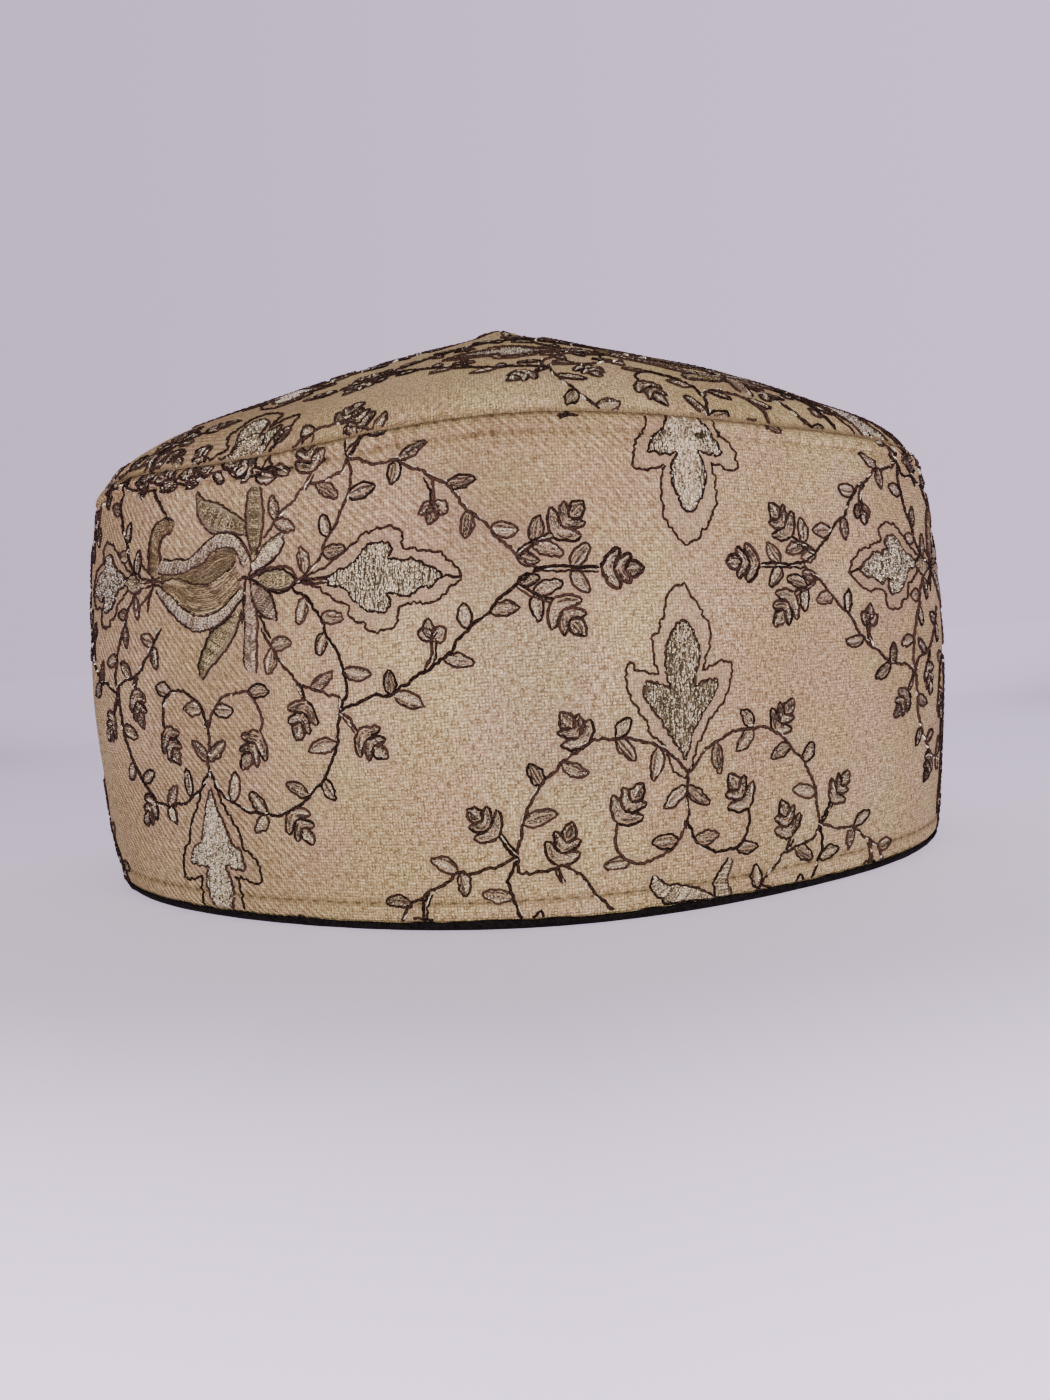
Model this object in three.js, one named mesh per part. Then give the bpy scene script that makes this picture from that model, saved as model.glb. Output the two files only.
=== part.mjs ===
// A stiff round cap of embroidered cloth: a side band, a low conical crown with a blunt peak, and a black
// lining whose folded foot carries it. Millimetres, +Z up, front towards -Y, origin in the middle under the rim.
import * as THREE from "three";

// Driving dimensions
const SEAM_HEIGHT = 81;
const CLOTH = 1.5;
const LINING = 1.3;
const GAP = 0.3;
const FOOT_HEIGHT = 1;

// Rise of the crown above its seam: a cone that bows out, a rounded shoulder at its edge, and a blunt peak
const CROWN_RISE = 33.6;
const CROWN_BOW = 1.28;
const SHOULDER_RISE = 4.3;
const SHOULDER_SHARE = 0.05;
const PEAK_RISE = 2.2;
const PEAK_FOOT_SHARE = 0.12;
const PEAK_TOP_SHARE = 0.03;

// Top strip of the band, folded over and stitched down
const STRIP_HEIGHT = 3.2;
const STRIP_OUT = 0.4;
const SEAM_GROOVE = 0.3;

// Moves the middle of the widest ring over the origin
const MIDDLE_X = 1.18;
const MIDDLE_Y = -0.08;

const SEGMENTS = 72;
const FULL_TURN = 360;

// Plan of the cap, a row every 30 degrees from the front towards +X: radius, and how far the top seam lifts
const PLAN = [
  { degrees: 0, radius: 97.4, lift: 2.0 },
  { degrees: 30, radius: 94.7, lift: 0.3 },
  { degrees: 60, radius: 96.7, lift: -0.4 },
  { degrees: 90, radius: 93.7, lift: -0.4 },
  { degrees: 120, radius: 94.6, lift: -0.2 },
  { degrees: 150, radius: 96.9, lift: -0.2 },
  { degrees: 180, radius: 98.6, lift: -0.1 },
  { degrees: 210, radius: 98.1, lift: 0.4 },
  { degrees: 240, radius: 96.4, lift: 1.2 },
  { degrees: 270, radius: 95.4, lift: 1.8 },
  { degrees: 300, radius: 96.5, lift: 1.7 },
  { degrees: 330, radius: 95.3, lift: -0.5 },
];

// Level sections of the side: size against the plan, and how far each one is shifted
const SIDE = [
  { height: 0, scale: 0.98, shiftX: 0, shiftY: 0 },
  { height: 3, scale: 0.992, shiftX: 0, shiftY: 0 },
  { height: 20, scale: 1.005, shiftX: -0.1, shiftY: -0.3 },
  { height: 40, scale: 1.015, shiftX: -0.3, shiftY: -0.5 },
  { height: 60, scale: 1.001, shiftX: -0.3, shiftY: -0.7 },
  { height: 76, scale: 0.984, shiftX: -0.2, shiftY: -0.9 },
  { height: SEAM_HEIGHT, scale: 0.962, shiftX: -0.2, shiftY: -0.9 },
];
const APEX_SHIFT_X = -0.1;
const APEX_SHIFT_Y = -0.4;
const SEAM_SECTION = SIDE[SIDE.length - 1];

// Heights of the rings at the back of the cloth and on both sides of the lining, so that their facets run level
const WALL_HEIGHTS = [3, 12, 28, 44, 60, 70, 76];

// Smooth value of one column between the rows of a table, closed on itself where a period is given
function column(table, key, name, at, period = 0) {
  const count = table.length;
  const inside = (i) => (period ? (i + count) % count : Math.min(Math.max(i, 0), count - 1));
  const row = (i) => table[inside(i)];
  const place = (i) => row(i)[key] + Math.floor(i / count) * period;
  let i = 0;
  const last = period ? count - 1 : count - 2;
  while (i < last && place(i + 1) <= at) i += 1;
  const span = place(i + 1) - place(i);
  const slope = (k) => {
    const width = place(k + 1) - place(k - 1);
    return width > 0 ? (row(k + 1)[name] - row(k - 1)[name]) / width : 0;
  };
  const t = Math.min(Math.max((at - place(i)) / span, 0), 1);
  const blend = t * t * (3 - 2 * t);
  const rise = span * t * (1 - t) * ((1 - t) * slope(i) - t * slope(i + 1));
  return row(i)[name] * (1 - blend) + row(i + 1)[name] * blend + rise;
}

const planRadius = (degrees) => column(PLAN, "degrees", "radius", degrees, FULL_TURN);
const seamLift = (degrees) => column(PLAN, "degrees", "lift", degrees, FULL_TURN);

// Point at a bearing from the front, a distance from a section's own centre and a height
function pointAt(degrees, radius, height, shiftX, shiftY) {
  const bearing = THREE.MathUtils.degToRad(degrees);
  const x = MIDDLE_X + shiftX + radius * Math.sin(bearing);
  const y = MIDDLE_Y + shiftY - radius * Math.cos(bearing);
  return [x, y, height];
}

// Ring of the side wall at a height, a distance inside the cloth's face; heights rise with the seam's lift
function sideRing(height, inset) {
  const scale = column(SIDE, "height", "scale", height);
  const shiftX = column(SIDE, "height", "shiftX", height);
  const shiftY = column(SIDE, "height", "shiftY", height);
  return ringOf((degrees) => {
    const lifted = height + (seamLift(degrees) * height) / SEAM_HEIGHT;
    return pointAt(degrees, planRadius(degrees) * scale - inset, lifted, shiftX, shiftY);
  });
}

// Height of the crown's face above the seam at a share of its radius
function crownRise(share) {
  const shoulder = SHOULDER_RISE * (1 - Math.exp((share - 1) / SHOULDER_SHARE));
  const peak = PEAK_RISE * (1 - THREE.MathUtils.smoothstep(share, PEAK_TOP_SHARE, PEAK_FOOT_SHARE));
  return CROWN_RISE * (1 - share ** CROWN_BOW) + shoulder + peak;
}

// Ring of the crown at a share of its radius, a distance under its face, measured square to the face
function crownRing(share, inset) {
  const step = 0.004;
  const inner = Math.max(share - step, 0);
  const outer = Math.min(share + step, 1);
  const towardsApex = 1 - share;
  const shiftX = SEAM_SECTION.shiftX * share + APEX_SHIFT_X * towardsApex;
  const shiftY = SEAM_SECTION.shiftY * share + APEX_SHIFT_Y * towardsApex;
  return ringOf((degrees) => {
    const edge = planRadius(degrees) * SEAM_SECTION.scale;
    const slope = Math.atan2(crownRise(inner) - crownRise(outer), edge * (outer - inner));
    const radius = edge * share - inset * Math.sin(slope);
    const height = SEAM_HEIGHT + crownRise(share) + seamLift(degrees) * share - inset * Math.cos(slope);
    return pointAt(degrees, radius, height, shiftX, shiftY);
  });
}

// Point on the axis of the crown, a distance under the peak
function crownPole(inset) {
  return [MIDDLE_X + APEX_SHIFT_X, MIDDLE_Y + APEX_SHIFT_Y, SEAM_HEIGHT + crownRise(0) - inset];
}

// Level ring under the crown's edge, where it sits on the band's top edge
function seamRing(inset) {
  return ringOf((degrees) => {
    const radius = planRadius(degrees) * SEAM_SECTION.scale - inset;
    const height = SEAM_HEIGHT + seamLift(degrees);
    return pointAt(degrees, radius, height, SEAM_SECTION.shiftX, SEAM_SECTION.shiftY);
  });
}

function ringOf(pointFor) {
  return Array.from({ length: SEGMENTS }, (_, i) => pointFor((i * FULL_TURN) / SEGMENTS));
}

// Closed skin over rings in order. It joins its last ring to its first, or ends on a point at both ends.
function skin(rings, poles = null) {
  const positions = rings.flat();
  const faces = [];
  const at = (ring, i) => ring * SEGMENTS + (i % SEGMENTS);
  const joins = poles ? rings.length - 1 : rings.length;
  for (let ring = 0; ring < joins; ring += 1) {
    const next = (ring + 1) % rings.length;
    for (let i = 0; i < SEGMENTS; i += 1) {
      faces.push(at(ring, i), at(ring, i + 1), at(next, i + 1));
      faces.push(at(ring, i), at(next, i + 1), at(next, i));
    }
  }
  if (poles) {
    const first = positions.push(poles[0]) - 1;
    const last = positions.push(poles[1]) - 1;
    for (let i = 0; i < SEGMENTS; i += 1) {
      faces.push(first, at(0, i + 1), at(0, i));
      faces.push(last, at(rings.length - 1, i), at(rings.length - 1, i + 1));
    }
  }
  const geometry = new THREE.BufferGeometry();
  geometry.setAttribute("position", new THREE.Float32BufferAttribute(positions.flat(), 3));
  geometry.setIndex(faces);
  geometry.computeVertexNormals();
  return geometry;
}

// Side wall: up the cloth's face, over the stitched top strip, and down the back of the cloth
function bandGeometry() {
  const bottom = FOOT_HEIGHT + GAP;
  const stripFoot = SEAM_HEIGHT - STRIP_HEIGHT;
  const face = [
    { height: bottom, out: -0.25 },
    { height: 2.2, out: 0 },
    { height: 9, out: 0 },
    { height: 20, out: 0 },
    { height: 32, out: 0 },
    { height: 44, out: 0 },
    { height: 56, out: 0 },
    { height: 67, out: 0 },
    { height: stripFoot - 0.5, out: 0 },
    { height: stripFoot + 0.3, out: STRIP_OUT },
    { height: SEAM_HEIGHT - 1.1, out: STRIP_OUT },
    { height: SEAM_HEIGHT - SEAM_GROOVE, out: 0 },
  ];
  const backHeights = [SEAM_HEIGHT - SEAM_GROOVE, ...WALL_HEIGHTS.toReversed(), bottom];
  const faceRings = face.map((row) => sideRing(row.height, -row.out));
  const backRings = backHeights.map((height) => sideRing(height, CLOTH));
  return skin([...faceRings, ...backRings]);
}

// Shares of the crown's radius where its rings lie, closer together over the peak and the shoulder
const CROWN_SHARES = [0.02, 0.045, 0.075, 0.105, 0.14, 0.25, 0.4, 0.55, 0.68, 0.78, 0.86, 0.92, 0.965];
const UNDER_SHARES = [0.06, 0.14, 0.28, 0.45, 0.62, 0.76, 0.86, 0.93];

function crownGeometry() {
  const edgeWidth = CLOTH * 1.3;
  const under = UNDER_SHARES.map((share) => crownRing(share, CLOTH));
  const edge = [seamRing(edgeWidth), seamRing(0)];
  const face = CROWN_SHARES.toReversed().map((share) => crownRing(share, 0));
  return skin([...under, ...edge, ...face], [crownPole(CLOTH), crownPole(0)]);
}

// Inner cup: roof and wall inside, the level foot under the band, then wall and roof outside
function liningGeometry() {
  const outside = CLOTH + GAP;
  const inside = outside + LINING;
  const roofInside = UNDER_SHARES.map((share) => crownRing(share, inside));
  const wallInside = [...WALL_HEIGHTS.toReversed(), 0].map((height) => sideRing(height, inside));
  const foot = [sideRing(0, 0), sideRing(FOOT_HEIGHT, 0)];
  const wallOutside = [FOOT_HEIGHT, ...WALL_HEIGHTS].map((height) => sideRing(height, outside));
  const roofOutside = UNDER_SHARES.toReversed().map((share) => crownRing(share, outside));
  return skin(
    [...roofInside, ...wallInside, ...foot, ...wallOutside, ...roofOutside],
    [crownPole(inside), crownPole(outside)],
  );
}

function piece(name, geometry, color, roughness) {
  const material = new THREE.MeshStandardMaterial({ color, roughness, metalness: 0 });
  const mesh = new THREE.Mesh(geometry, material);
  mesh.name = name;
  return mesh;
}

const CREAM = 0xc8b18f;
const BLACK = 0x1b1718;

const cap = new THREE.Group();
cap.add(
  piece("band", bandGeometry(), CREAM, 0.85),
  piece("crown", crownGeometry(), CREAM, 0.85),
  piece("lining", liningGeometry(), BLACK, 0.95),
);

export default cap;
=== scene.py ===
import math
from collections import namedtuple

import bpy
import numpy as np
from mathutils import Matrix, Vector


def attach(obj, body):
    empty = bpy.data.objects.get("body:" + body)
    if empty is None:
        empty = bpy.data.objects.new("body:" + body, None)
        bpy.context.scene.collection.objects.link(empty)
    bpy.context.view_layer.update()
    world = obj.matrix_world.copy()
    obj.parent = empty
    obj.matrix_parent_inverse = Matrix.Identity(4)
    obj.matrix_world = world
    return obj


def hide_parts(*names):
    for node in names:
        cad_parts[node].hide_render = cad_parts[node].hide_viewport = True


MM = 0.001
TAU = 2 * math.pi

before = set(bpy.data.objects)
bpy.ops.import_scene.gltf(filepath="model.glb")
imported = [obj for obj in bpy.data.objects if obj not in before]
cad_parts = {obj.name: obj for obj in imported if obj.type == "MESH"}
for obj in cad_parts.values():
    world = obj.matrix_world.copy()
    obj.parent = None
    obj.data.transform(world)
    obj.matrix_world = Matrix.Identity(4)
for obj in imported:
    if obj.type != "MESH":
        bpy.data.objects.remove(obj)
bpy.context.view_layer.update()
random = np.random.default_rng(20)

# Plan of the cap, every 30 degrees from the front towards +X: its radius, and how far the top seam lifts
PLAN_STEP = 30
PLAN_RADIUS = [97.4, 94.7, 96.7, 93.7, 94.6, 96.9, 98.6, 98.1, 96.4, 95.4, 96.5, 95.3]
PLAN_LIFT = [2.0, 0.3, -0.4, -0.4, -0.2, -0.2, -0.1, 0.4, 1.2, 1.8, 1.7, -0.5]

# Level sections of the side: size against the plan, and how far each one is shifted
SEAM_HEIGHT = 81
SIDE_HEIGHT = [0, 3, 20, 40, 60, 76, SEAM_HEIGHT]
SIDE_SCALE = [0.98, 0.992, 1.005, 1.015, 1.001, 0.984, 0.962]
SHIFT_X = [0, 0, -0.1, -0.3, -0.3, -0.2, -0.2]
SHIFT_Y = [0, 0, -0.3, -0.5, -0.7, -0.9, -0.9]
MIDDLE_X = 1.18
MIDDLE_Y = -0.08

# Rise of the crown: a cone that bows out, a rounded shoulder at its edge, and a blunt peak
CROWN_RISE = 33.6
CROWN_BOW = 1.28
SHOULDER_RISE = 4.3
SHOULDER_SHARE = 0.05
PEAK_RISE = 2.2
PEAK_FOOT_SHARE = 0.12
PEAK_TOP_SHARE = 0.03
APEX_SHIFT_X = -0.1
APEX_SHIFT_Y = -0.4
CROWN_RADIUS = 101

CLOTH = 1.5
LINING = 1.3
GAP = 0.3
BAND_FOOT = 1.3


def smooth_step(value, low, high):
    share = np.clip((value - low) / (high - low), 0, 1)
    return share * share * (3 - 2 * share)


def bell(value, middle, width):
    return np.exp(-(((value - middle) / width) ** 2))


def curve(keys, values, at):
    """Smooth value between the rows of a table."""
    keys, values = np.array(keys, float), np.array(values, float)
    slopes = np.gradient(values, keys)
    slopes[1:-1] = (values[2:] - values[:-2]) / (keys[2:] - keys[:-2])
    i = np.clip(np.searchsorted(keys, at, side="right") - 1, 0, len(keys) - 2)
    span = keys[i + 1] - keys[i]
    t = np.clip((at - keys[i]) / span, 0, 1)
    blend = t * t * (3 - 2 * t)
    rise = span * t * (1 - t) * ((1 - t) * slopes[i] - t * slopes[i + 1])
    return values[i] * (1 - blend) + values[i + 1] * blend + rise


def round_curve(values, degrees):
    """Smooth value of a row of the plan, closed on itself."""
    keys = PLAN_STEP * np.arange(-1, len(values) + 2)
    return curve(keys, [values[-1], *values, *values[:2]], degrees)


def plan_radius(degrees):
    return round_curve(PLAN_RADIUS, degrees)


# Run of the band's face: millimetres along it from the front, for each degree of the plan
BAND_STRETCH = 1.0158
TURN = np.arange(361.0)
plan_x = plan_radius(TURN % 360) * np.sin(np.radians(TURN))
plan_y = -plan_radius(TURN % 360) * np.cos(np.radians(TURN))
ARC = np.concatenate([[0], np.cumsum(np.hypot(np.diff(plan_x), np.diff(plan_y)))]) * BAND_STRETCH
GIRTH = ARC[-1]
BACK = GIRTH / 2


def at_bearing(degrees, radius, height, shift_x, shift_y):
    bearing = np.radians(degrees)
    x = MIDDLE_X + shift_x + radius * np.sin(bearing)
    y = MIDDLE_Y + shift_y - radius * np.cos(bearing)
    return np.stack([x, y, height], axis=-1)


def side_point(degrees, height, out):
    """Point of the side wall, a distance outside the cloth's plain face."""
    scale, shift_x, shift_y = (curve(SIDE_HEIGHT, row, height) for row in (SIDE_SCALE, SHIFT_X, SHIFT_Y))
    lifted = height * (1 + round_curve(PLAN_LIFT, degrees) / SEAM_HEIGHT)
    return at_bearing(degrees, plan_radius(degrees) * scale + out, lifted, shift_x, shift_y)


def band_point(run, height, out):
    """Point of the band at a distance along it from the front and a height."""
    return side_point(np.interp(run % GIRTH, ARC, TURN) % 360, height, out)


def crown_rise(share):
    share = np.clip(share, 0, 1)
    shoulder = SHOULDER_RISE * (1 - np.exp((share - 1) / SHOULDER_SHARE))
    peak = PEAK_RISE * (1 - smooth_step(share, PEAK_TOP_SHARE, PEAK_FOOT_SHARE))
    return CROWN_RISE * (1 - share**CROWN_BOW) + shoulder + peak


def crown_at(degrees, share, out):
    """Point of the crown at a share of its radius, a distance outside its plain face, square to it."""
    step = 0.004
    inner = np.maximum(share - step, 0)
    outer = np.minimum(share + step, 1)
    edge = plan_radius(degrees) * SIDE_SCALE[-1]
    slope = np.arctan2(crown_rise(inner) - crown_rise(outer), edge * (outer - inner))
    radius = edge * share + out * np.sin(slope)
    height = SEAM_HEIGHT + crown_rise(share) + round_curve(PLAN_LIFT, degrees) * share + out * np.cos(slope)
    shift_x = SHIFT_X[-1] * share + APEX_SHIFT_X * (1 - share)
    shift_y = SHIFT_Y[-1] * share + APEX_SHIFT_Y * (1 - share)
    return at_bearing(degrees, radius, height, shift_x, shift_y)


def crown_pole(out):
    return crown_at(np.zeros(1), np.zeros(1), out)


def crown_point(x, y, out):
    """Point of the crown from its place on the flat disc of cloth that it was cut as."""
    return crown_at(np.degrees(np.arctan2(x, -y)) % 360, np.hypot(x, y) / CROWN_RADIUS, out)


# Relief of the cloth: long low waves, the rolled strip and its stitch row, the lower row, and the back seam
Wave = namedtuple("Wave", "along across phase height")
WAVES = [Wave(118, 210, 0.4, 0.28), Wave(61, -95, 1.9, 0.17)]
WAVES += [Wave(37, 74, 3.3, 0.10), Wave(19, -41, 5.0, 0.05)]
STITCH_PITCH = 3.3
TOP_ROW = 77.7
LOW_ROW = 4.7
STRIP_OUT = 0.45
LOW_PITCH = 2.9
# How dark each pit of the top row is painted, as shade
PIT_SHADES = random.uniform(0.4, 1, 211)


def ripple(a, b):
    return sum(w.height * np.sin(TAU * (a / w.along + b / w.across) + w.phase) for w in WAVES)


def stitch_count(run):
    """Stitches of the top row from the front to a place, whose lengths vary a little."""
    return run / STITCH_PITCH + 0.1 * np.sin(run / 11)


def pucker(run):
    """Pull of the top stitches: 1 where the thread dives into the cloth, and -1 between."""
    return np.cos(TAU * stitch_count(run))


def band_seam(run, height):
    """Painted shade: how dark the cloth is painted in the pits and folds of its stitched rows and under the
    crown's edge, where shade falls.
    """
    pulled = 0.25 + 0.75 * smooth_step(-run, -14, 4)
    depth = PIT_SHADES[np.round(stitch_count(run)).astype(int) % len(PIT_SHADES)] * pulled
    pit_shade = 0.85 * depth * smooth_step(pucker(run), -0.25, 1.05) * bell(height, TOP_ROW + 0.1, 0.7)
    fold_shade = 0.4 * depth * smooth_step(pucker(run + 0.4), -0.3, 1) * smooth_step(height, 77.9, 78.9)
    wobble = 0.2 * (np.sin(run * 1.9) + np.sin(run * 3.1 + 1))
    edge = 0.6 * smooth_step(height + wobble, 79.7, 80.6)
    low_row = (0.8 + 0.2 * np.cos(TAU * run / LOW_PITCH)) * bell(height, LOW_ROW, 0.5)
    return np.clip(0.3 * bell(height, TOP_ROW, 0.5) + pit_shade + fold_shade + edge + low_row, 0, 1)


def band_relief(run, height):
    at_back = np.abs(np.abs(run) - BACK)
    below_seam = SEAM_HEIGHT - height
    calm = smooth_step(at_back, 1, 18) * smooth_step(height, 1, 14) * smooth_step(below_seam, 3, 16)
    puckers = pucker(run)
    strip = STRIP_OUT * smooth_step(height, TOP_ROW - 0.2, TOP_ROW + 1) * smooth_step(below_seam, 0, 1.1)
    top_row = -(0.42 + 0.3 * puckers) * bell(height, TOP_ROW, 0.6)
    on_strip = -0.22 * puckers * bell(height, TOP_ROW + 1.2, 1.0)
    below = -0.16 * puckers * np.exp(-np.abs(height - TOP_ROW) / 2.6)
    low_row = -(0.1 + 0.05 * np.cos(TAU * run / LOW_PITCH)) * bell(height, LOW_ROW, 0.6)
    foot = -0.25 * smooth_step(2.2 - height, 0, 0.9)
    back_seam = -0.5 * bell(at_back, 0, 0.7) + 0.25 * bell(at_back, 2.2, 1.4)
    return calm * ripple(run, height) + strip + top_row + on_strip + below + low_row + foot + back_seam


def crown_relief(x, y):
    share = np.hypot(x, y) / CROWN_RADIUS
    run = np.arctan2(x, -y) * BACK / math.pi
    edge = -0.13 * pucker(run + 0.6) * smooth_step(share, 0.92, 0.985)
    roll = 0.1 * bell(share, 0.983, 0.014)
    calm = smooth_step(share, 0.08, 0.3) * smooth_step(1 - share, 0.02, 0.16)
    return calm * ripple(x + 40, y) + edge + roll


# Meshes
def make_mesh(name, points, faces, numbers, uv=None):
    """One smooth mesh from points in millimetres and faces of four corners (three where the last repeats)."""
    mesh = bpy.data.meshes.new(name)
    is_quad = faces[:, 2] != faces[:, 3]
    used = np.ones(faces.shape, bool)
    used[:, 3] = is_quad
    corners = faces[used]
    mesh.vertices.add(len(points))
    mesh.vertices.foreach_set("co", (points.astype(np.float32) * MM).ravel())
    mesh.loops.add(len(corners))
    mesh.loops.foreach_set("vertex_index", corners.astype(np.int32))
    mesh.polygons.add(len(faces))
    starts = np.concatenate([[0], np.cumsum(np.where(is_quad, 4, 3))[:-1]])
    mesh.polygons.foreach_set("loop_start", starts.astype(np.int32))
    mesh.polygons.foreach_set("use_smooth", np.ones(len(faces), bool))
    mesh.update(calc_edges=True)
    if uv is not None:
        mesh.uv_layers.new(name="cloth").data.foreach_set("uv", uv[used].astype(np.float32).ravel())
    for key, values in numbers.items():
        layer = mesh.attributes.new(key, "FLOAT", "POINT")
        layer.data.foreach_set("value", values.astype(np.float32).ravel())
    piece = bpy.data.objects.new(name, mesh)
    bpy.context.scene.collection.objects.link(piece)
    return piece


def ring_skin(name, rings, uv, poles=(), **numbers):
    """Closed skin over rings in order, which joins the last to the first or ends on a point at both ends."""
    rows, count = rings.shape[:2]
    joined = rows - 1 if poles else rows
    here = np.arange(rows * count).reshape(rows, count)
    after = np.roll(here, -1, axis=1)
    corners = [here, after, np.roll(after, -1, axis=0), np.roll(here, -1, axis=0)]
    faces = [np.stack(corners, axis=-1)[:joined].reshape(-1, 4)]
    following = np.roll(uv, -1, axis=0)
    corners = [uv[:, :-1], uv[:, 1:], following[:, 1:], following[:, :-1]]
    face_uv = [np.stack(corners, axis=2)[:joined].reshape(-1, 4, 2)]
    ends = [(uv[0], after[0], here[0]), (uv[-1], here[-1], after[-1])] if poles else []
    for tip, (ring_uv, low, high) in enumerate(ends, rows * count):
        faces.append(np.stack([np.full(count, tip), low, high, high], axis=1))
        low_uv, high_uv = ring_uv[low % count], ring_uv[high % count]
        tip_uv = np.tile(ring_uv.mean(axis=0), (count, 1))
        face_uv.append(np.stack([tip_uv, low_uv, high_uv, high_uv], axis=1))
    points = np.concatenate([rings.reshape(-1, 3), *poles])
    numbers = {key: np.append(values, np.zeros(len(poles))) for key, values in numbers.items()}
    return make_mesh(name, points, np.concatenate(faces), numbers, np.concatenate(face_uv))


# Threads laid on a panel of cloth
Panel = namedtuple("Panel", "name point relief inside reach")


def band_inside(run, height):
    return (np.abs(run) < BACK - 0.8) & (height > 1.7) & (height < 80.85)


def crown_inside(x, y):
    share = np.hypot(x, y) / CROWN_RADIUS
    return (share > 0.02) & (share < 0.9985)


BAND = Panel("band", band_point, band_relief, band_inside, (BACK, 84))
CROWN = Panel("crown", crown_point, crown_relief, crown_inside, (CROWN_RADIUS, CROWN_RADIUS))
SUNK = -0.16
WIDEST_FOOT = 1.9
STAIN_CELL = 0.5
STAIN_BLUR = 0.9
STAIN_GAIN = 2.2
STITCH_LENGTH = 1.7
SCALLOP_PITCH = 2.3
SWAY_LENGTHS = (4.2, 6.5)
END_WIDTH = 0.55
END_HEIGHT = 0.4

# How a line of thread is sewn: its kind, half width, height over the cloth, how it strays, and its step
Line = namedtuple("Line", "kind half_width height jagged sway scallop step tone", defaults=[0, 0, 0.62, 0])
VINE = Line("outline", 0.3, 0.45, 0.1, sway=0.14, step=0.58)
# Bits of silver beside a vine are painted lighter, as painted glints
BESIDE_VINE = Line("glint", 0.18, 0.5, 0.07, step=0.6, tone=0.7)
SECOND_VINE = Line("outline", 0.22, 0.38, 0.09)
LEAF_EDGE = Line("outline", 0.23, 0.38, 0.1)
LEAF_STRAND = Line("leaf", 0.2, 0.3, 0.06, step=0.9)
BUD_EDGE = Line("outline", 0.27, 0.42, 0.1)
END_BUD_EDGE = Line("outline", 0.36, 0.42, 0.1)
BUD_STRAND = Line("leaf", 0.25, 0.42, 0.07, step=0.8)
ARROW_EDGE = Line("outline", 0.23, 0.38, 0.12, scallop=0.34, step=0.5)
HEART_EDGE = Line("outline", 0.25, 0.42, 0.12, scallop=0.15, step=0.5)
DART_STEM = Line("outline", 0.26, 0.4, 0.1)
# A dark ground of painted shade under the strands of a petal
PETAL_GROUND = Line("dark", 0.5, 0.1, 0.05, step=1.6)
PETAL_STRAND = Line("gold", 0.16, 0.34, 0.06, step=0.9)
PETAL_EDGE = Line("outline", 0.23, 0.46, 0.1)
FLOWER_LINE = Line("outline", 0.27, 0.4, 0.1)
CROWN_EDGE_LINE = Line("outline", 0.25, 0.4, 0.1)

# How short straight stitches are sewn. A belly lifts the middle of each one.
Dash = namedtuple("Dash", "kind half_width height points belly tone", defaults=[0, 0])
# A dark ground of painted shade under a heart's stitches
HEART_GROUND = Dash("dark", 0.52, 0.1, 6)
HEART_STITCH = Dash("glint", 0.19, 0.3, 3)
SATIN = Dash("metal", 0.2, 0.26, 5, belly=0.2)
TOPSTITCH = Dash("sewing", 0.13, 0.14, 6)


def smooth_path(points, per_span=5):
    """Curve through given points."""
    points = np.asarray(points, float)
    if len(points) < 3:
        return points
    padded = np.concatenate([[2 * points[0] - points[1]], points, [2 * points[-1] - points[-2]]])
    t = (np.arange(per_span) / per_span)[:, None]
    spans = []
    for a, b, c, d in zip(padded[:-3], padded[1:-2], padded[2:-1], padded[3:]):
        spans.append(b + 0.5 * t * (c - a + t * (2 * a - 5 * b + 4 * c - d + t * (3 * (b - c) + d - a))))
    return np.concatenate([*spans, points[-1:]])


def resample(path, step=1.0, count=None):
    """Points spaced evenly on a path, a step apart or so many in all, and how far along it each one is."""
    run = np.concatenate([[0], np.cumsum(np.hypot(*np.diff(path, axis=0).T))])
    at = np.linspace(0, run[-1], count or max(int(round(run[-1] / step)), 2) + 1)
    return np.stack([np.interp(at, run, path[:, 0]), np.interp(at, run, path[:, 1])], axis=1), at


def across(path):
    """Unit direction to the left of a path at each of its points."""
    along = np.gradient(path, axis=0)
    along /= np.maximum(np.hypot(along[:, 0], along[:, 1]), 1e-6)[:, None]
    return np.stack([-along[:, 1], along[:, 0]], axis=1)


def stretches(shown):
    """Runs of at least three points where a row of yes and no says yes."""
    edges = np.flatnonzero(np.diff(np.concatenate([[0], shown.astype(int), [0]])))
    return [slice(start, end) for start, end in zip(edges[::2], edges[1::2]) if end - start > 2]


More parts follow.
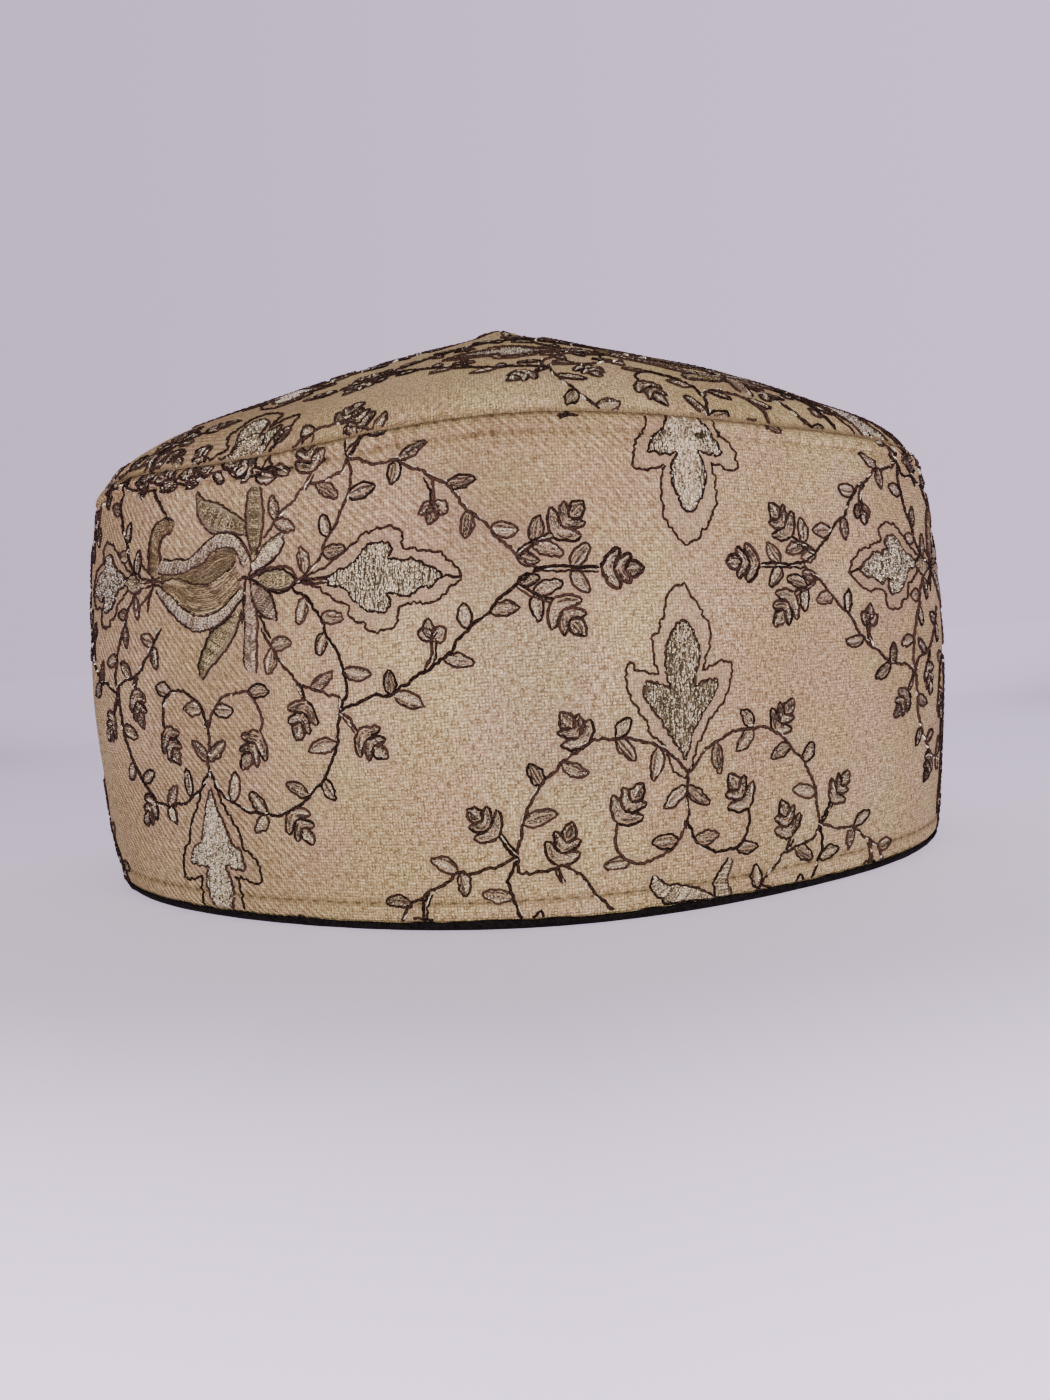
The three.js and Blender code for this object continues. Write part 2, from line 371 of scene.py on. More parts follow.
class Sewing:
    """Collects the threads of one panel and makes each kind of thread one piece."""

    def __init__(self, panel):
        self.panel = panel
        self.batches = {}
        self.coarse = 1
        wide, high = panel.reach
        self.stain = np.zeros((int(2 * wide / STAIN_CELL) + 2, int(2 * high / STAIN_CELL) + 2))

    def cell(self, a, b):
        """Row and column of the stain at places of the panel."""
        wide, high = self.panel.reach
        return ((a + wide) / STAIN_CELL).astype(int), ((b + high) / STAIN_CELL).astype(int)

    def mark(self, placed, weight):
        """Darkens the cloth a little round a thread."""
        i, j = self.cell(placed[..., 0], placed[..., 1])
        fits = (i >= 0) & (j >= 0) & (i < self.stain.shape[0]) & (j < self.stain.shape[1])
        np.add.at(self.stain, (i[fits], j[fits]), weight)

    def line(self, style, place, path):
        """A line of thread along a path in a motif's own millimetres."""
        path, run = resample(path, style.step * self.coarse)
        swing = random.normal(0, style.jagged, len(path))
        swing += style.sway * np.sin(TAU * run / random.uniform(*SWAY_LENGTHS) + random.uniform(0, TAU))
        if style.scallop:
            lobes = run / SCALLOP_PITCH + random.uniform(0, 1)
            depth = random.uniform(0.2, 1.3, int(lobes[-1]) + 1)
            swing += style.scallop * depth[lobes.astype(int)] * (lobes % 1 - 0.5)
        path = path + across(path) * swing[:, None]
        beat = np.abs(np.sin(math.pi * run / STITCH_LENGTH + random.uniform(0, 3)))
        width = style.half_width * (0.78 + 0.32 * beat) * random.uniform(0.9, 1.1, len(path))
        lifted = style.height * (0.7 + 0.4 * beat)
        width[[0, -1]] *= END_WIDTH
        lifted[[0, -1]] *= END_HEIGHT
        placed = place(path)
        keep = self.panel.inside(placed[:, 0], placed[:, 1])
        if not keep.any():
            return
        self.mark(placed[keep], style.step)
        tone = random.uniform(style.tone, style.tone + 1)
        for part in stretches(keep):
            self.add(style.kind, placed[None, part], width[None, part], lifted[None, part], np.array([tone]))

    def dashes(self, style, place, starts, ends):
        """Short straight stitches from starts to ends."""
        t = np.linspace(0, 1, style.points)
        paths = starts[:, None] + (ends - starts)[:, None] * t[:, None]
        placed = place(paths.reshape(-1, 2)).reshape(paths.shape)
        placed = placed[self.panel.inside(placed[..., 0], placed[..., 1]).all(axis=1)]
        if len(placed) == 0:
            return
        shape = np.sin(math.pi * (0.12 + 0.76 * t)) ** 0.6
        width = style.half_width * shape * random.uniform(0.85, 1.15, (len(placed), 1))
        lifted = style.height * shape + style.belly * np.sin(math.pi * t)
        lifted = lifted * random.uniform(0.8, 1.2, (len(placed), 1))
        self.add(style.kind, placed, width, lifted, random.uniform(style.tone, style.tone + 1, len(placed)))

    def add(self, kind, placed, width, height, tone):
        self.batches.setdefault(kind, []).append((placed, width, height, tone))

    def make(self, kind, name):
        """One mesh of ridged threads, each a closed three-sided tube sunk a little into the cloth."""
        points = []
        faces = []
        numbers = {"tone": [], "run": [], "turn": [], "end": []}
        first = 0
        for placed, width, height, tone in self.batches.get(kind, []):
            threads, count = placed.shape[:2]
            a, b = placed[..., 0], placed[..., 1]
            base = self.panel.relief(a, b)
            middle = self.panel.point(a, b, base)
            normal = self.panel.point(a, b, base + 1) - middle
            along = np.gradient(middle, axis=1)
            side = np.cross(normal, along)
            side /= np.maximum(np.linalg.norm(side, axis=-1, keepdims=True), 1e-9)
            foot = (width * np.minimum((height - SUNK) / np.maximum(height, 0.01), WIDEST_FOOT))[..., None]
            tube = [middle - side * foot + normal * SUNK, middle + normal * height[..., None]]
            tube.append(middle + side * foot + normal * SUNK)
            points.append(np.stack(tube, axis=2).reshape(-1, 3))
            run = np.cumsum(np.linalg.norm(along, axis=-1), axis=1)
            numbers["run"].append(np.repeat(run.ravel(), 3))
            numbers["turn"].append(np.tile([0, 0.5, 1], threads * count))
            numbers["tone"].append(np.repeat(tone, count * 3))
            numbers["end"].append(np.tile(np.repeat(np.abs(np.linspace(-1, 1, count)), 3), threads))
            at = first + np.arange(threads * count * 3).reshape(threads, count, 3)
            here, there = at[:, :-1], at[:, 1:]
            turned = [1, 2, 0]
            sides = np.stack([here, there, there[..., turned], here[..., turned]], axis=-1)
            faces += [sides.reshape(-1, 4), at[:, 0][:, [0, 1, 2, 2]], at[:, -1][:, [2, 1, 0, 0]]]
            first += threads * count * 3
        if not points:
            return None
        numbers = {key: np.concatenate(values) for key, values in numbers.items()}
        return make_mesh(name, np.concatenate(points), np.concatenate(faces), numbers)

    def stain_at(self, a, b):
        """How much the cloth is darkened at places of the panel, softened over about a millimetre."""
        kernel = np.exp(-((np.arange(-4, 5) * STAIN_CELL / STAIN_BLUR) ** 2))
        kernel /= kernel.sum()
        soft = self.stain
        for axis in (0, 1):
            soft = np.apply_along_axis(np.convolve, axis, soft, kernel, "same")
        i, j = self.cell(a, b)
        i, j = np.clip(i, 0, soft.shape[0] - 1), np.clip(j, 0, soft.shape[1] - 1)
        return np.clip(soft[i, j] * STAIN_GAIN, 0, 1)


# The motif, charted from its centre: across, then up. First the arrows and their hearts, each whole.
ARROW = [
    (-0.9, 31), (-2, 31.6), (-3.3, 33.3), (-4.2, 36), (-5.7, 37.1), (-7.3, 38.8), (-7.4, 39.9),
    (-8.6, 41.4), (-9.9, 43.3), (-10.7, 44.7), (-11.2, 47.3), (-11.1, 48.8), (-10.4, 49.3), (-9.6, 49.1),
    (-9.3, 48.3), (-7.7, 48), (-5.8, 47.5), (-6.1, 49.2), (-6.4, 51.4), (-6.5, 53.4), (-5.5, 53.9),
    (-5.1, 55.7), (-4.3, 56.6), (-4.2, 58.4), (-3.4, 60.1), (-2.5, 61), (-0.3, 61.4), (0.4, 59.9),
    (1.9, 58.3), (2.9, 56.6), (3.8, 54.7), (4.1, 52.9), (3.8, 51), (3.2, 49.4), (2.5, 47.7), (4.1, 48.4),
    (6.7, 49.2), (8.2, 48.7), (8.4, 47.3), (8, 45.5), (7.1, 43.3), (5.6, 41.4), (4.1, 39.9), (3.2, 38.4),
    (2.3, 36.6), (1.3, 34.7), (0.9, 33), (-0.3, 31),
]
ARROW_HEART = [
    (-0.3, 33.6), (-1.2, 34.7), (-2.5, 36.6), (-4.4, 39.2), (-6, 41.4), (-7.1, 42.9), (-8.1, 44.4),
    (-8.1, 45.9), (-7.5, 46.6), (-6.6, 46.2), (-5.1, 45.9), (-3.4, 45.1), (-3.9, 46.6), (-4.3, 48.8),
    (-4.2, 51), (-3.8, 52.5), (-2.9, 54.4), (-1.8, 55.6), (-0.5, 55.7), (0.6, 54.6), (1.4, 52.5), (1.9, 51),
    (1.7, 48.8), (1, 46.6), (0.8, 45.6), (1.9, 45.6), (4.1, 46.2), (5.3, 46.2), (5.3, 44.7), (4.5, 43.3),
    (3, 41.4), (1.9, 39.7), (1, 38.4), (0.3, 36.6), (-0.1, 34.7),
]
HANGING_ARROW = [
    (-6.2, 41), (-6.8, 43.8), (-7.8, 44.7), (-8.7, 46), (-9.1, 47.5), (-9.2, 49.3), (-9, 50.2),
    (-7.8, 50.4), (-6.8, 50.2), (-5.8, 50.2), (-5, 49.9), (-3.7, 49.4), (-3.8, 50.2), (-4.1, 51),
    (-4.3, 52), (-4.3, 53.3), (-4.4, 54.7), (-4, 56), (-3.9, 57.3), (-3.3, 58.7), (-2.5, 59.8),
    (-1.5, 60.8), (-0.7, 61.7), (0.1, 62.2), (1, 61.8), (2.3, 61.2), (2.8, 60.7), (3.2, 59.8), (4.2, 59.5),
    (4.7, 58.3), (5.2, 57.3), (5.6, 56.3), (6.2, 55.3), (6.3, 54), (6.1, 52.7), (6.1, 51.3), (5.9, 50.3),
    (5.7, 49.3), (5, 48.8), (6, 49.1), (7.8, 49.2), (8.3, 49.7), (9.3, 49.7), (10.5, 49.6), (11.1, 49),
    (11.2, 48.5), (10.8, 47.7), (10.8, 46.8), (10, 45.8), (9.3, 45), (8.3, 44.3), (7.3, 43.2), (6.8, 41),
    (3.6, 37), (1.5, 33.5), (0.3, 31), (-1.2, 32.5), (-3.6, 37),
]
HANGING_HEART = [
    (-4, 44), (-5.3, 44.7), (-6, 46), (-6.5, 47.5), (-5.7, 47.4), (-5, 47.2), (-4.3, 47.7), (-3.3, 47.5),
    (-2.3, 47.7), (-1.2, 47.3), (-1.6, 48.2), (-2.1, 49.3), (-2.5, 50.3), (-2.3, 51.3), (-2.1, 52.7),
    (-1.3, 54), (-0.7, 55.7), (0, 56.7), (1, 56.9), (2, 56.3), (2.8, 55), (3.7, 53.7), (4.2, 52.3),
    (4.3, 51), (4.1, 50), (3.7, 48.7), (3.2, 47.7), (3, 47.2), (3.7, 46.9), (4.7, 47.5), (6, 47.5),
    (7.3, 47.4), (7.7, 46.7), (7.2, 46), (7.1, 45), (6.7, 44.3), (5.2, 43.2), (3.6, 40.5), (2.2, 38),
    (0.9, 35.6), (0, 34.2), (-0.9, 36.5), (-2, 40.5), (-2.9, 43),
]
DART = [
    (21, 1.2), (24.2, 2.3), (25.6, 2.9), (27.6, 4), (29.1, 4.9), (30.5, 5.9), (31.7, 6.5), (32.4, 7.3),
    (33.9, 7.6), (35.5, 7.9), (37.3, 8.1), (37.9, 7.6), (39.1, 7.2), (39.8, 6.2), (39.5, 4.9), (40.3, 4.1),
    (42.1, 3.8), (44.2, 3.1), (46.4, 2.6), (47, 1.5), (48.2, 0.8), (48.8, -0.1), (49.5, -1.5), (48.2, -2.5),
    (46.7, -3.8), (45.5, -4.5), (43.6, -4.8), (42.1, -4.5), (39.7, -4.7), (39.1, -5.9), (38.8, -7.4),
    (37.9, -8.2), (36.1, -8.2), (33.9, -8), (33.5, -6.8), (31.5, -6.2), (30.5, -5), (30, -3.4),
    (27.9, -2.7), (27, -1.9), (25.8, -1.3), (24.8, -0.3), (22, 0.2),
]
DART_HEART = [
    (26.1, 0.9), (28.2, 2.2), (30, 2.5), (31.4, 3.4), (32.4, 4.3), (33.3, 5.2), (34.5, 5.6), (36.5, 5.6),
    (37.4, 5), (38.1, 4.4), (37.3, 3.2), (38.2, 2.9), (39.7, 2.2), (41.2, 2.4), (43.3, 1.4), (45.2, 0.3),
    (46.4, -0.9), (45.2, -1.8), (44.2, -2.4), (43.3, -2.2), (41.8, -2.8), (40, -3.3), (38.2, -2.5),
    (37.3, -2.5), (37.9, -4.1), (37, -5.4), (35.2, -5.1), (33.6, -4.7), (32.4, -3.8), (31.2, -2.7),
    (30, -1.2), (28.5, -0.4), (26.7, -0.1),
]
DART_STEMS = [
    [(19.4, 0.7), (22, 1.2), (26, 0.9)],
    [(19.4, 0.4), (22.5, 0.5), (26.3, 0.3)],
    [(19.6, 0.9), (23, 0.9), (27, 1.4)],
    [(46.4, -0.9), (48, -1), (49.5, -1.5)],
]

# Stems, leaves and buds of one quarter, each leaf and bud from its base to its tip
SCROLL = [
    (0.3, 24), (1, 21.5), (2.6, 19.8), (4.8, 18.5), (7.6, 18), (10.2, 18.3), (12, 19.9), (12.7, 22.2),
    (12.6, 24.6),
]
OUTER_VINE = [
    (0.4, 31.6), (2.8, 34.4), (5.2, 36), (8.3, 37.3), (11.2, 37.8), (14.5, 37.9), (17.5, 37.2), (20, 35.6),
    (22.6, 33.5), (24.8, 31.2), (26.6, 28.6), (27.9, 25.4), (28.8, 20.3),
]
STAR_VINE = [
    (28.8, 20.3), (32.7, 18.8), (35.9, 18.1), (38.3, 18.3), (39.6, 17.3), (41.9, 16), (43.6, 15),
    (46.7, 13.3), (50.2, 9), (53.5, 6.5), (55.5, 4.4), (58.2, 2.3), (60.4, 0.9), (61.3, 0),
]
DART_VINE = [
    (28.8, 20.3), (30.1, 17.4), (29.6, 13.8), (28, 10.2), (26.1, 7.6), (25, 4.9), (22.6, 2.3), (20.1, 0.7),
    (19.2, 0),
]
FLOWER_VINE = [
    (28.8, 20.3), (28.4, 18), (25.7, 17.2), (23.3, 16.6), (20.9, 15.9), (19, 14.3), (17, 12.4),
    (15.1, 10.4), (13, 7.5),
]
CURL_VINE = [
    (28.8, 20.3), (28.4, 18), (25.7, 17.6), (23.3, 18), (20.5, 17.4), (16.5, 16.4), (14.8, 14.6),
    (12.2, 12.6),
]
LOW_VINE = [
    (28.8, 20.3), (28.4, 18), (25.7, 17.6), (23.3, 18.2), (20, 18), (17, 15.3), (15.2, 12.7), (12.5, 10.8),
]
VINES = [SCROLL, OUTER_VINE, STAR_VINE, DART_VINE, FLOWER_VINE]
BUD_STEMS = [
    [(28.8, 20.3), (29.8, 21), (31.8, 23.6)],
    [(20.9, 15.9), (22.4, 18.5)],
    [(58.6, 2.1), (60.4, 3.4), (64.1, 4.8)],
    [(43.6, 15), (44.8, 12.6), (44.9, 10)],
]
SIDE_STEM = [(61, 0.3), (65.5, 0.2), (71.6, 0.1)]
UP_STEM = [(0, 22.5), (0.2, 26), (-0.1, 29), (0, 32.2)]

LEAVES = [
    ((0.2, 29.3), (4.4, 26.1)), ((1.5, 20.6), (6.5, 21)), ((10, 18.4), (14.9, 17.8)),
    ((6, 35.4), (6.4, 30.8)), ((13, 37.5), (10.3, 41)), ((13, 37), (9.5, 34.2)), ((21.2, 33.5), (17, 32.5)),
    ((24.7, 30.9), (26.9, 34.7)), ((26.6, 25), (22.2, 26.8)), ((38, 18.3), (37.4, 14.2)),
    ((38.7, 18.4), (43.4, 20.5)), ((46.7, 13.1), (51.7, 13.6)), ((50.8, 8.5), (49.9, 4.4)),
    ((54.1, 6.2), (58.8, 6)), ((30, 13.9), (34.8, 14.8)), ((25.2, 5.2), (29.6, 5.6)),
    ((25.6, 7.9), (25, 11.6)), ((21.4, 2.6), (20.8, 6.6)), ((15.1, 10.4), (19.6, 9.2)),
    ((14.8, 11), (14.3, 15)), ((23.3, 16.2), (27.8, 13.9)), ((67, 0.2), (70, 3.9)),
    ((61.3, 2.2), (65.8, 2.2)), ((58.4, 2.3), (62, 1.2)), ((61.1, 4.1), (61.9, 8.2)),
    ((44.8, 10.4), (42.4, 9)), ((44.9, 10.2), (44.1, 7.2)), ((45, 10.5), (47, 8.6)),
]
# Leaves that give way to the flower's curl
CURL_LEAVES = LEAVES[18:21]
LEAF_HALF_WIDTH = 1.12
BUDS = [
    ((17.6, 36.8), (21.9, 42.2)), ((31.8, 23.6), (36.8, 28.2)), ((22.4, 18.5), (19.8, 25.2)),
    ((12.5, 24.6), (8.1, 30.6)), ((64.1, 4.8), (69.2, 10.4)),
]
END_BUD = ((71.9, 0.05), (79.2, 0.05))
# How far the end of the right arm hangs, and from where across in the lower and in the upper half
SAG = 1.0
SAG_FROM = (43, 50)
SAG_SPAN = 10
BUD_LENGTH = 7.2
# Half of a bud along its own axis: across, then up
BUD_EDGES = [
    [(0, 0), (1, 0.3), (2.2, 1.2), (3, 2.3), (3.15, 3.1)],
    [(3.15, 3.1), (2.2, 3.05), (1.1, 2.6), (0, 2.1)],
    [(0, 2.1), (0.9, 2.5), (1.7, 3.3), (2.3, 4.3), (2.4, 5)],
    [(2.4, 5), (1.6, 4.9), (0.8, 4.4), (0, 3.8)],
    [(0, 3.9), (0.9, 4.5), (1.25, 5.3), (0.9, 6.3), (0, 7.3)],
]
BUD_STRANDS = [
    [(0.1, 0.8), (1.3, 1.3), (2.6, 2.6)],
    [(0.1, 1.5), (1.2, 2), (2.2, 2.7)],
    [(0.1, 2.8), (1, 3.3), (1.9, 4.5)],
    [(0.1, 3.4), (0.8, 3.8), (1.5, 4.5)],
    [(0.2, 4.6), (0.35, 5.5), (0.1, 6.7)],
    [(0.55, 4.8), (0.8, 5.4), (0.5, 6.1)],
]

# The flower in the middle of each motif, not mirrored. A petal lies between two edges that run from its foot.
Petal = namedtuple("Petal", "kind laid tone near far")
CUP = [
    (-14.7, -0.8), (-12.8, -2.7), (-10.1, -4.7), (-7.9, -6.1), (-5.3, -7.2), (-3.3, -8), (0, -7.7),
    (2.9, -6.8), (5.7, -5), (7.7, -3.2), (9, -1.9),
]
CUP_EDGE = [
    (-13.6, -0.3), (-11.6, -1.1), (-9.7, -1.9), (-7.9, -3.2), (-5.9, -4.3), (-3.1, -5.2), (0, -5.1),
    (2.2, -4.6), (4.4, -3.5), (6.6, -1.7), (7.9, -0.6),
]
MIDRIB = [
    (-13.4, 0.6), (-9.7, 1.3), (-6.6, 1), (-4.6, 0.4), (-3.3, 0.2), (-0.9, 0.3), (1.3, 0.7), (2.6, 1.4),
    (4, 2), (5.5, 2.9), (6.4, 3.9),
]
BLOOM_EDGE = [
    (-13.6, 1.6), (-12.3, 2), (-9.7, 1.9), (-6.6, 2.4), (-4.4, 3.1), (-2.2, 3.6), (-0.4, 4.7), (1.3, 5.9),
    (3.5, 6.3), (5.9, 6), (6.6, 5),
]
BAY = [
    (-12.8, 4.9), (-11, 4.4), (-8.8, 4.8), (-6.2, 4.6), (-4.6, 5.3), (-3.1, 6.2), (-1.5, 7.1), (0, 8),
    (1.8, 8.8), (4, 8.8), (5.9, 8.5), (7.5, 7.3), (8.8, 6), (9.6, 4.4),
]
BAY_FOOT = [
    (-14.4, 2.2), (-12.3, 2.1), (-9.7, 2), (-6.6, 2.5), (-4.4, 3.2), (-2.2, 3.7), (-0.4, 4.8), (1.3, 6),
    (3.5, 6.4), (5.9, 6.1), (7, 5), (7.6, 3.9), (8, 3.2), (8.6, 2.4),
]
CURL = [
    (-16.6, 1.6), (-17.3, 3.6), (-17.3, 6.7), (-16.8, 9.1), (-15.6, 10.8), (-13.9, 11.7), (-12, 12.1),
    (-9.9, 11.4),
]
CURL_EDGE = [
    (-14.2, 2.2), (-13.6, 4.6), (-14, 6), (-13.9, 7.3), (-13.2, 8.6), (-12.2, 9.2), (-11.2, 9.5),
    (-10.4, 10),
]
PETALS = [
    Petal("metal", "across", 0.1, CUP, CUP_EDGE),
    Petal("gold", "along", 0, CUP_EDGE, MIDRIB),
    Petal("gold", "along", -0.45, MIDRIB, BLOOM_EDGE),
    Petal("gold", "across", -0.45, CURL, CURL_EDGE),
    Petal("metal", "across", 0, BAY, BAY_FOOT),
    Petal("olive", "across", -0.2,
          [(8.9, 10.2), (8.1, 10.8), (6.4, 11.7), (4.4, 12.7), (2.6, 13.8), (1.3, 14.3), (-0.9, 14.7),
           (-2.6, 15.5), (-3.7, 16.6)],
          [(8.9, 8.3), (7.3, 8.4), (5.5, 8.8), (3.1, 9.1), (0.9, 9), (-0.7, 9.7), (-2.2, 11.1),
           (-3.2, 12.9), (-3.7, 16.6)]),
    Petal("olive", "across", -0.3,
          [(10.3, 4.7), (9.7, 6.7), (8.9, 9.1), (8.8, 11.3), (8.8, 13.5), (9, 15.3), (9.9, 16.3)],
          [(11.1, 4.7), (11.9, 6.2), (12.5, 8.4), (12.7, 10.6), (12.5, 12.8), (12.1, 15), (11.3, 16.3)]),
    Petal("metal", "across", 0.35,
          [(10.4, 3.4), (11.9, 4.9), (12.9, 6.4), (14.1, 7.3), (15.8, 8.2), (17.6, 8.9)],
          [(10.9, 2), (12.5, 2.3), (14.1, 3.4), (15.8, 4.7), (17, 6.2), (17.6, 8.9)]),
    Petal("olive", "across", 0,
          [(11.9, 0.6), (13.2, 1.8), (15.4, 2.5), (17.6, 2.6), (19.4, 1.6), (20, 0.9)],
          [(11.9, 0.4), (13.6, -0.7), (15.2, -0.9), (16.8, -0.9), (18.7, -0.3), (20, 0.9)]),
    Petal("pink", "across", -0.3,
          [(10.7, -0.2), (13.2, -0.7), (15, -2), (16, -3.9), (16.4, -6)],
          [(10.4, -1.2), (11, -3.5), (12.3, -5), (14.1, -5.8), (16.4, -6)]),
    Petal("pink", "herringbone", 0,
          [(9.3, -2.1), (8.8, -3.9), (9.1, -6.3), (9.2, -8.5), (9.1, -10.7), (9.2, -12.9), (9.9, -14.5)],
          [(10.6, -2.1), (11.7, -4.3), (12.1, -7), (12.1, -9.6), (12.1, -11.8), (12.1, -14), (11.9, -15)]),
    Petal("olive", "across", 0,
          [(8, -4.4), (8.1, -5.2), (7.5, -7), (6.4, -9), (4.8, -10.9), (2.9, -12.5), (0.9, -14),
           (-1.1, -16)],
          [(6.8, -5), (4.4, -6.3), (1.5, -7.6), (0.2, -9), (-0.4, -10.3), (-1.3, -11.8), (-2, -13.6),
           (-1.4, -15.8)]),
    Petal("olive", "across", 0,
          [(-19, 0.8), (-21, 1.9), (-23.5, 2), (-26, 0.4)],
          [(-19, -0.3), (-21, -1.3), (-23.5, -1.4), (-26, 0.2)]),
]
# What shows of the flower above the rim in the low row
LOW_PETALS = [
    Petal("metal", "across", 0.1,
          [(-5.7, 15.7), (-4.8, 14.9), (-3.2, 13.7), (-0.9, 13.5), (1.4, 12.8), (3.2, 12.1), (4.8, 11.2),
           (5.9, 10.5)],
          [(-6, 15.6), (-6.4, 14.2), (-5.9, 12.8), (-4.3, 11.5), (-3, 10.6), (0, 10.5), (3, 10.45),
           (5.5, 10.4)]),
    Petal("metal", "across", 0.1,
          [(8.4, 16.8), (7.5, 15.5), (6.4, 14.4), (5.7, 12.8), (5.9, 11.4), (6.4, 10.4)],
          [(9, 16.8), (9.2, 15.9), (9, 14.9), (8.5, 13.7), (8.6, 12.4), (9.2, 11.2), (9.7, 10.4)]),
]
FLOWER_LINES = [
    [(7, 0.7), (9.9, 1), (11.9, 1.5), (14.1, 2.6), (16.5, 2.9), (18.7, 2.9), (20.2, 1.2)],
    [(8, 1.2), (9.9, 0.8), (12.3, -0.2), (14.1, -1), (16.5, -1.3), (18.7, -0.7), (20.4, 0.6)],
    [(9.5, 1), (10.3, 2.6), (9.9, 4.4), (8.8, 6), (7.5, 7.4)],
    [(9.4, 1), (8.6, -1), (8.7, -4), (8.4, -7)],
    [(9.8, 0.8), (10.6, -1.6), (11.4, -3.9), (13.8, -6)],
    [(9.9, 1), (11.8, 2.2), (14.3, 3.4), (16.2, 4.9)],
    [(12.1, -5.6), (13.2, -6.3), (14.1, -7.9), (15.1, -9.2)],
    [(-12.4, 12.6), (-11.2, 11.6), (-10.6, 10.2)],
    [(-21.8, 0.3), (-18.6, 0.5), (-15.6, 0.6), (-13.2, 0.7)],
    [(-19.6, 1.3), (-16.8, 0.9), (-13.8, 1.6)],
    [(-18.6, -0.4), (-15.8, 0.1), (-13.4, -0.2)],
    [(-20.9, 4.2), (-17.6, 2.4), (-15.4, 0.9)],
    [(-22, -5), (-18.7, -2.8), (-15.8, -0.4)],
    [(-17.4, -4.8), (-17, -2.4), (-15.6, 0)],
]

# Bits that the seam cuts through. Those on the strip are in run and height.
STRIP_LINES = [
    [(8, 80.5), (7.9, 79.4), (8.8, 79.9), (9.9, 80.3), (11.2, 80.05)],
    [(-47.8, 78.8), (-45.6, 78.3), (-43.7, 78.4), (-41.8, 77.6), (-39.8, 77.8)],
    [(-47.6, 78.1), (-45.2, 77.8), (-42.8, 77.7)],
    [(-44, 78.2), (-44.3, 79.3), (-44.8, 80.6)],
    [(-62, 79.6), (-58.5, 78.9), (-54, 79.9)],
    [(-69, 79), (-64.6, 78.7), (-61.8, 79.6)],
    [(-77.2, 79), (-73, 78.6), (-69, 79.2)],
]
STRIP_BUDS = [
    ((-47.8, 78.8), (-53.8, 79.9)), ((-61.8, 79.3), (-67.5, 79.6)), ((-69, 79), (-75, 79.8)),
    ((-77, 78.7), (-83, 79.5)),
]
STRIP_LEAVES = [
    ((-43.7, 78.2), (-40.2, 76.5)), ((-61.8, 79.7), (-58.4, 80.2)), ((-57.6, 79), (-55, 77.2)),
    ((-65.2, 78.6), (-63, 76.9)), ((-73, 78.8), (-71.4, 77)),
]
# Those on the crown are in run along its edge and distance from it
EDGE_LINES = [
    [(-55.6, 0.7), (-55.3, 2.8), (-53.6, 4.6), (-51.6, 5), (-49.4, 4.1), (-48.2, 2.4), (-48.2, 0.7)],
    [(-44.8, 0.6), (-44.7, 1.6), (-44.5, 2.4)],
]
EDGE_SATIN = Petal(
    "metal", "across", -0.2,
    [(-54.8, 0.7), (-54.4, 2.2), (-53.2, 3.5), (-51.6, 3.9), (-50, 3.1), (-49.1, 1.9), (-49, 0.7)],
    [(-54.4, 0.65), (-53.4, 0.7), (-52.4, 0.7), (-51.6, 0.7), (-50.8, 0.7), (-50, 0.7), (-49.3, 0.65)],
)
EDGE_BUDS = [
    ((-44.5, 1.5), (-44.2, 5.6)), ((-63, 0.8), (-67.4, 3.6)),
]
CROWN_BUD = ((-26.8, -97.2), (-28, -90.4))


STEM_POINTS = np.concatenate([smooth_path(path, 8) for path in [*VINES, *BUD_STEMS, SIDE_STEM, UP_STEM]])
LEAF_REACH = 2
LEAF_POINTS = 9
LEAF_STRAND_PLACES = (-0.52, -0.02, 0.5)
LANE = 0.37
GROUND_LANE = 0.85
TINT_LANE = 0.5
TINT = 0.16
HEART_STAIN = 1.5
SATIN_STAIN = 2.0
BESIDE = 0.34
SECOND_BESIDE = 0.64
SHOWN_SHARE = 0.7
STITCH_SPREAD = 0.15
NARROWEST_SATIN = 0.4
RAGGED = 0.05
SHORTEST = 0.45
STRAND_LANE = 0.34
SATIN_PITCH = 0.3
STRAND_POINTS = 60
# Painted highlight: how much lighter the stitches are painted in the hearts that catch the light
LIT = 0.3


def lens(base, tip, half_width, bend):
    """Both edges of a pointed leaf, from its base to its tip."""
    axis = np.array(tip, float) - base
    left = np.array([-axis[1], axis[0]]) / np.hypot(*axis)
    t = np.linspace(0, 1, LEAF_POINTS)[:, None]
    middle = base + axis * t + left * bend * np.sin(math.pi * t)
    half = half_width * np.sin(math.pi * t**0.85) ** 0.72
    return middle + left * half, middle - left * half


def on_vine(base):
    """The place on a stem that is nearest to a leaf's base, or the base itself where none is near."""
    away = np.hypot(*(STEM_POINTS - base).T)
    return STEM_POINTS[away.argmin()] if away.min() < LEAF_REACH else np.array(base, float)


def inner_stretches(outline, start, pitch):
    """The upright stretches inside a closed outline on lanes across it, each from foot to top."""
    here, there = outline, np.roll(outline, -1, axis=0)
    found = []
    for lane in np.arange(outline[:, 0].min() + start, outline[:, 0].max(), pitch):
        crossed = (here[:, 0] < lane) != (there[:, 0] < lane)
        a, b = here[crossed], there[crossed]
        ups = np.sort(a[:, 1] + (b[:, 1] - a[:, 1]) * (lane - a[:, 0]) / (b[:, 0] - a[:, 0]))
        found += [(lane, foot, top) for foot, top in zip(ups[::2], ups[1::2]) if top - foot > 0.6]
    return found


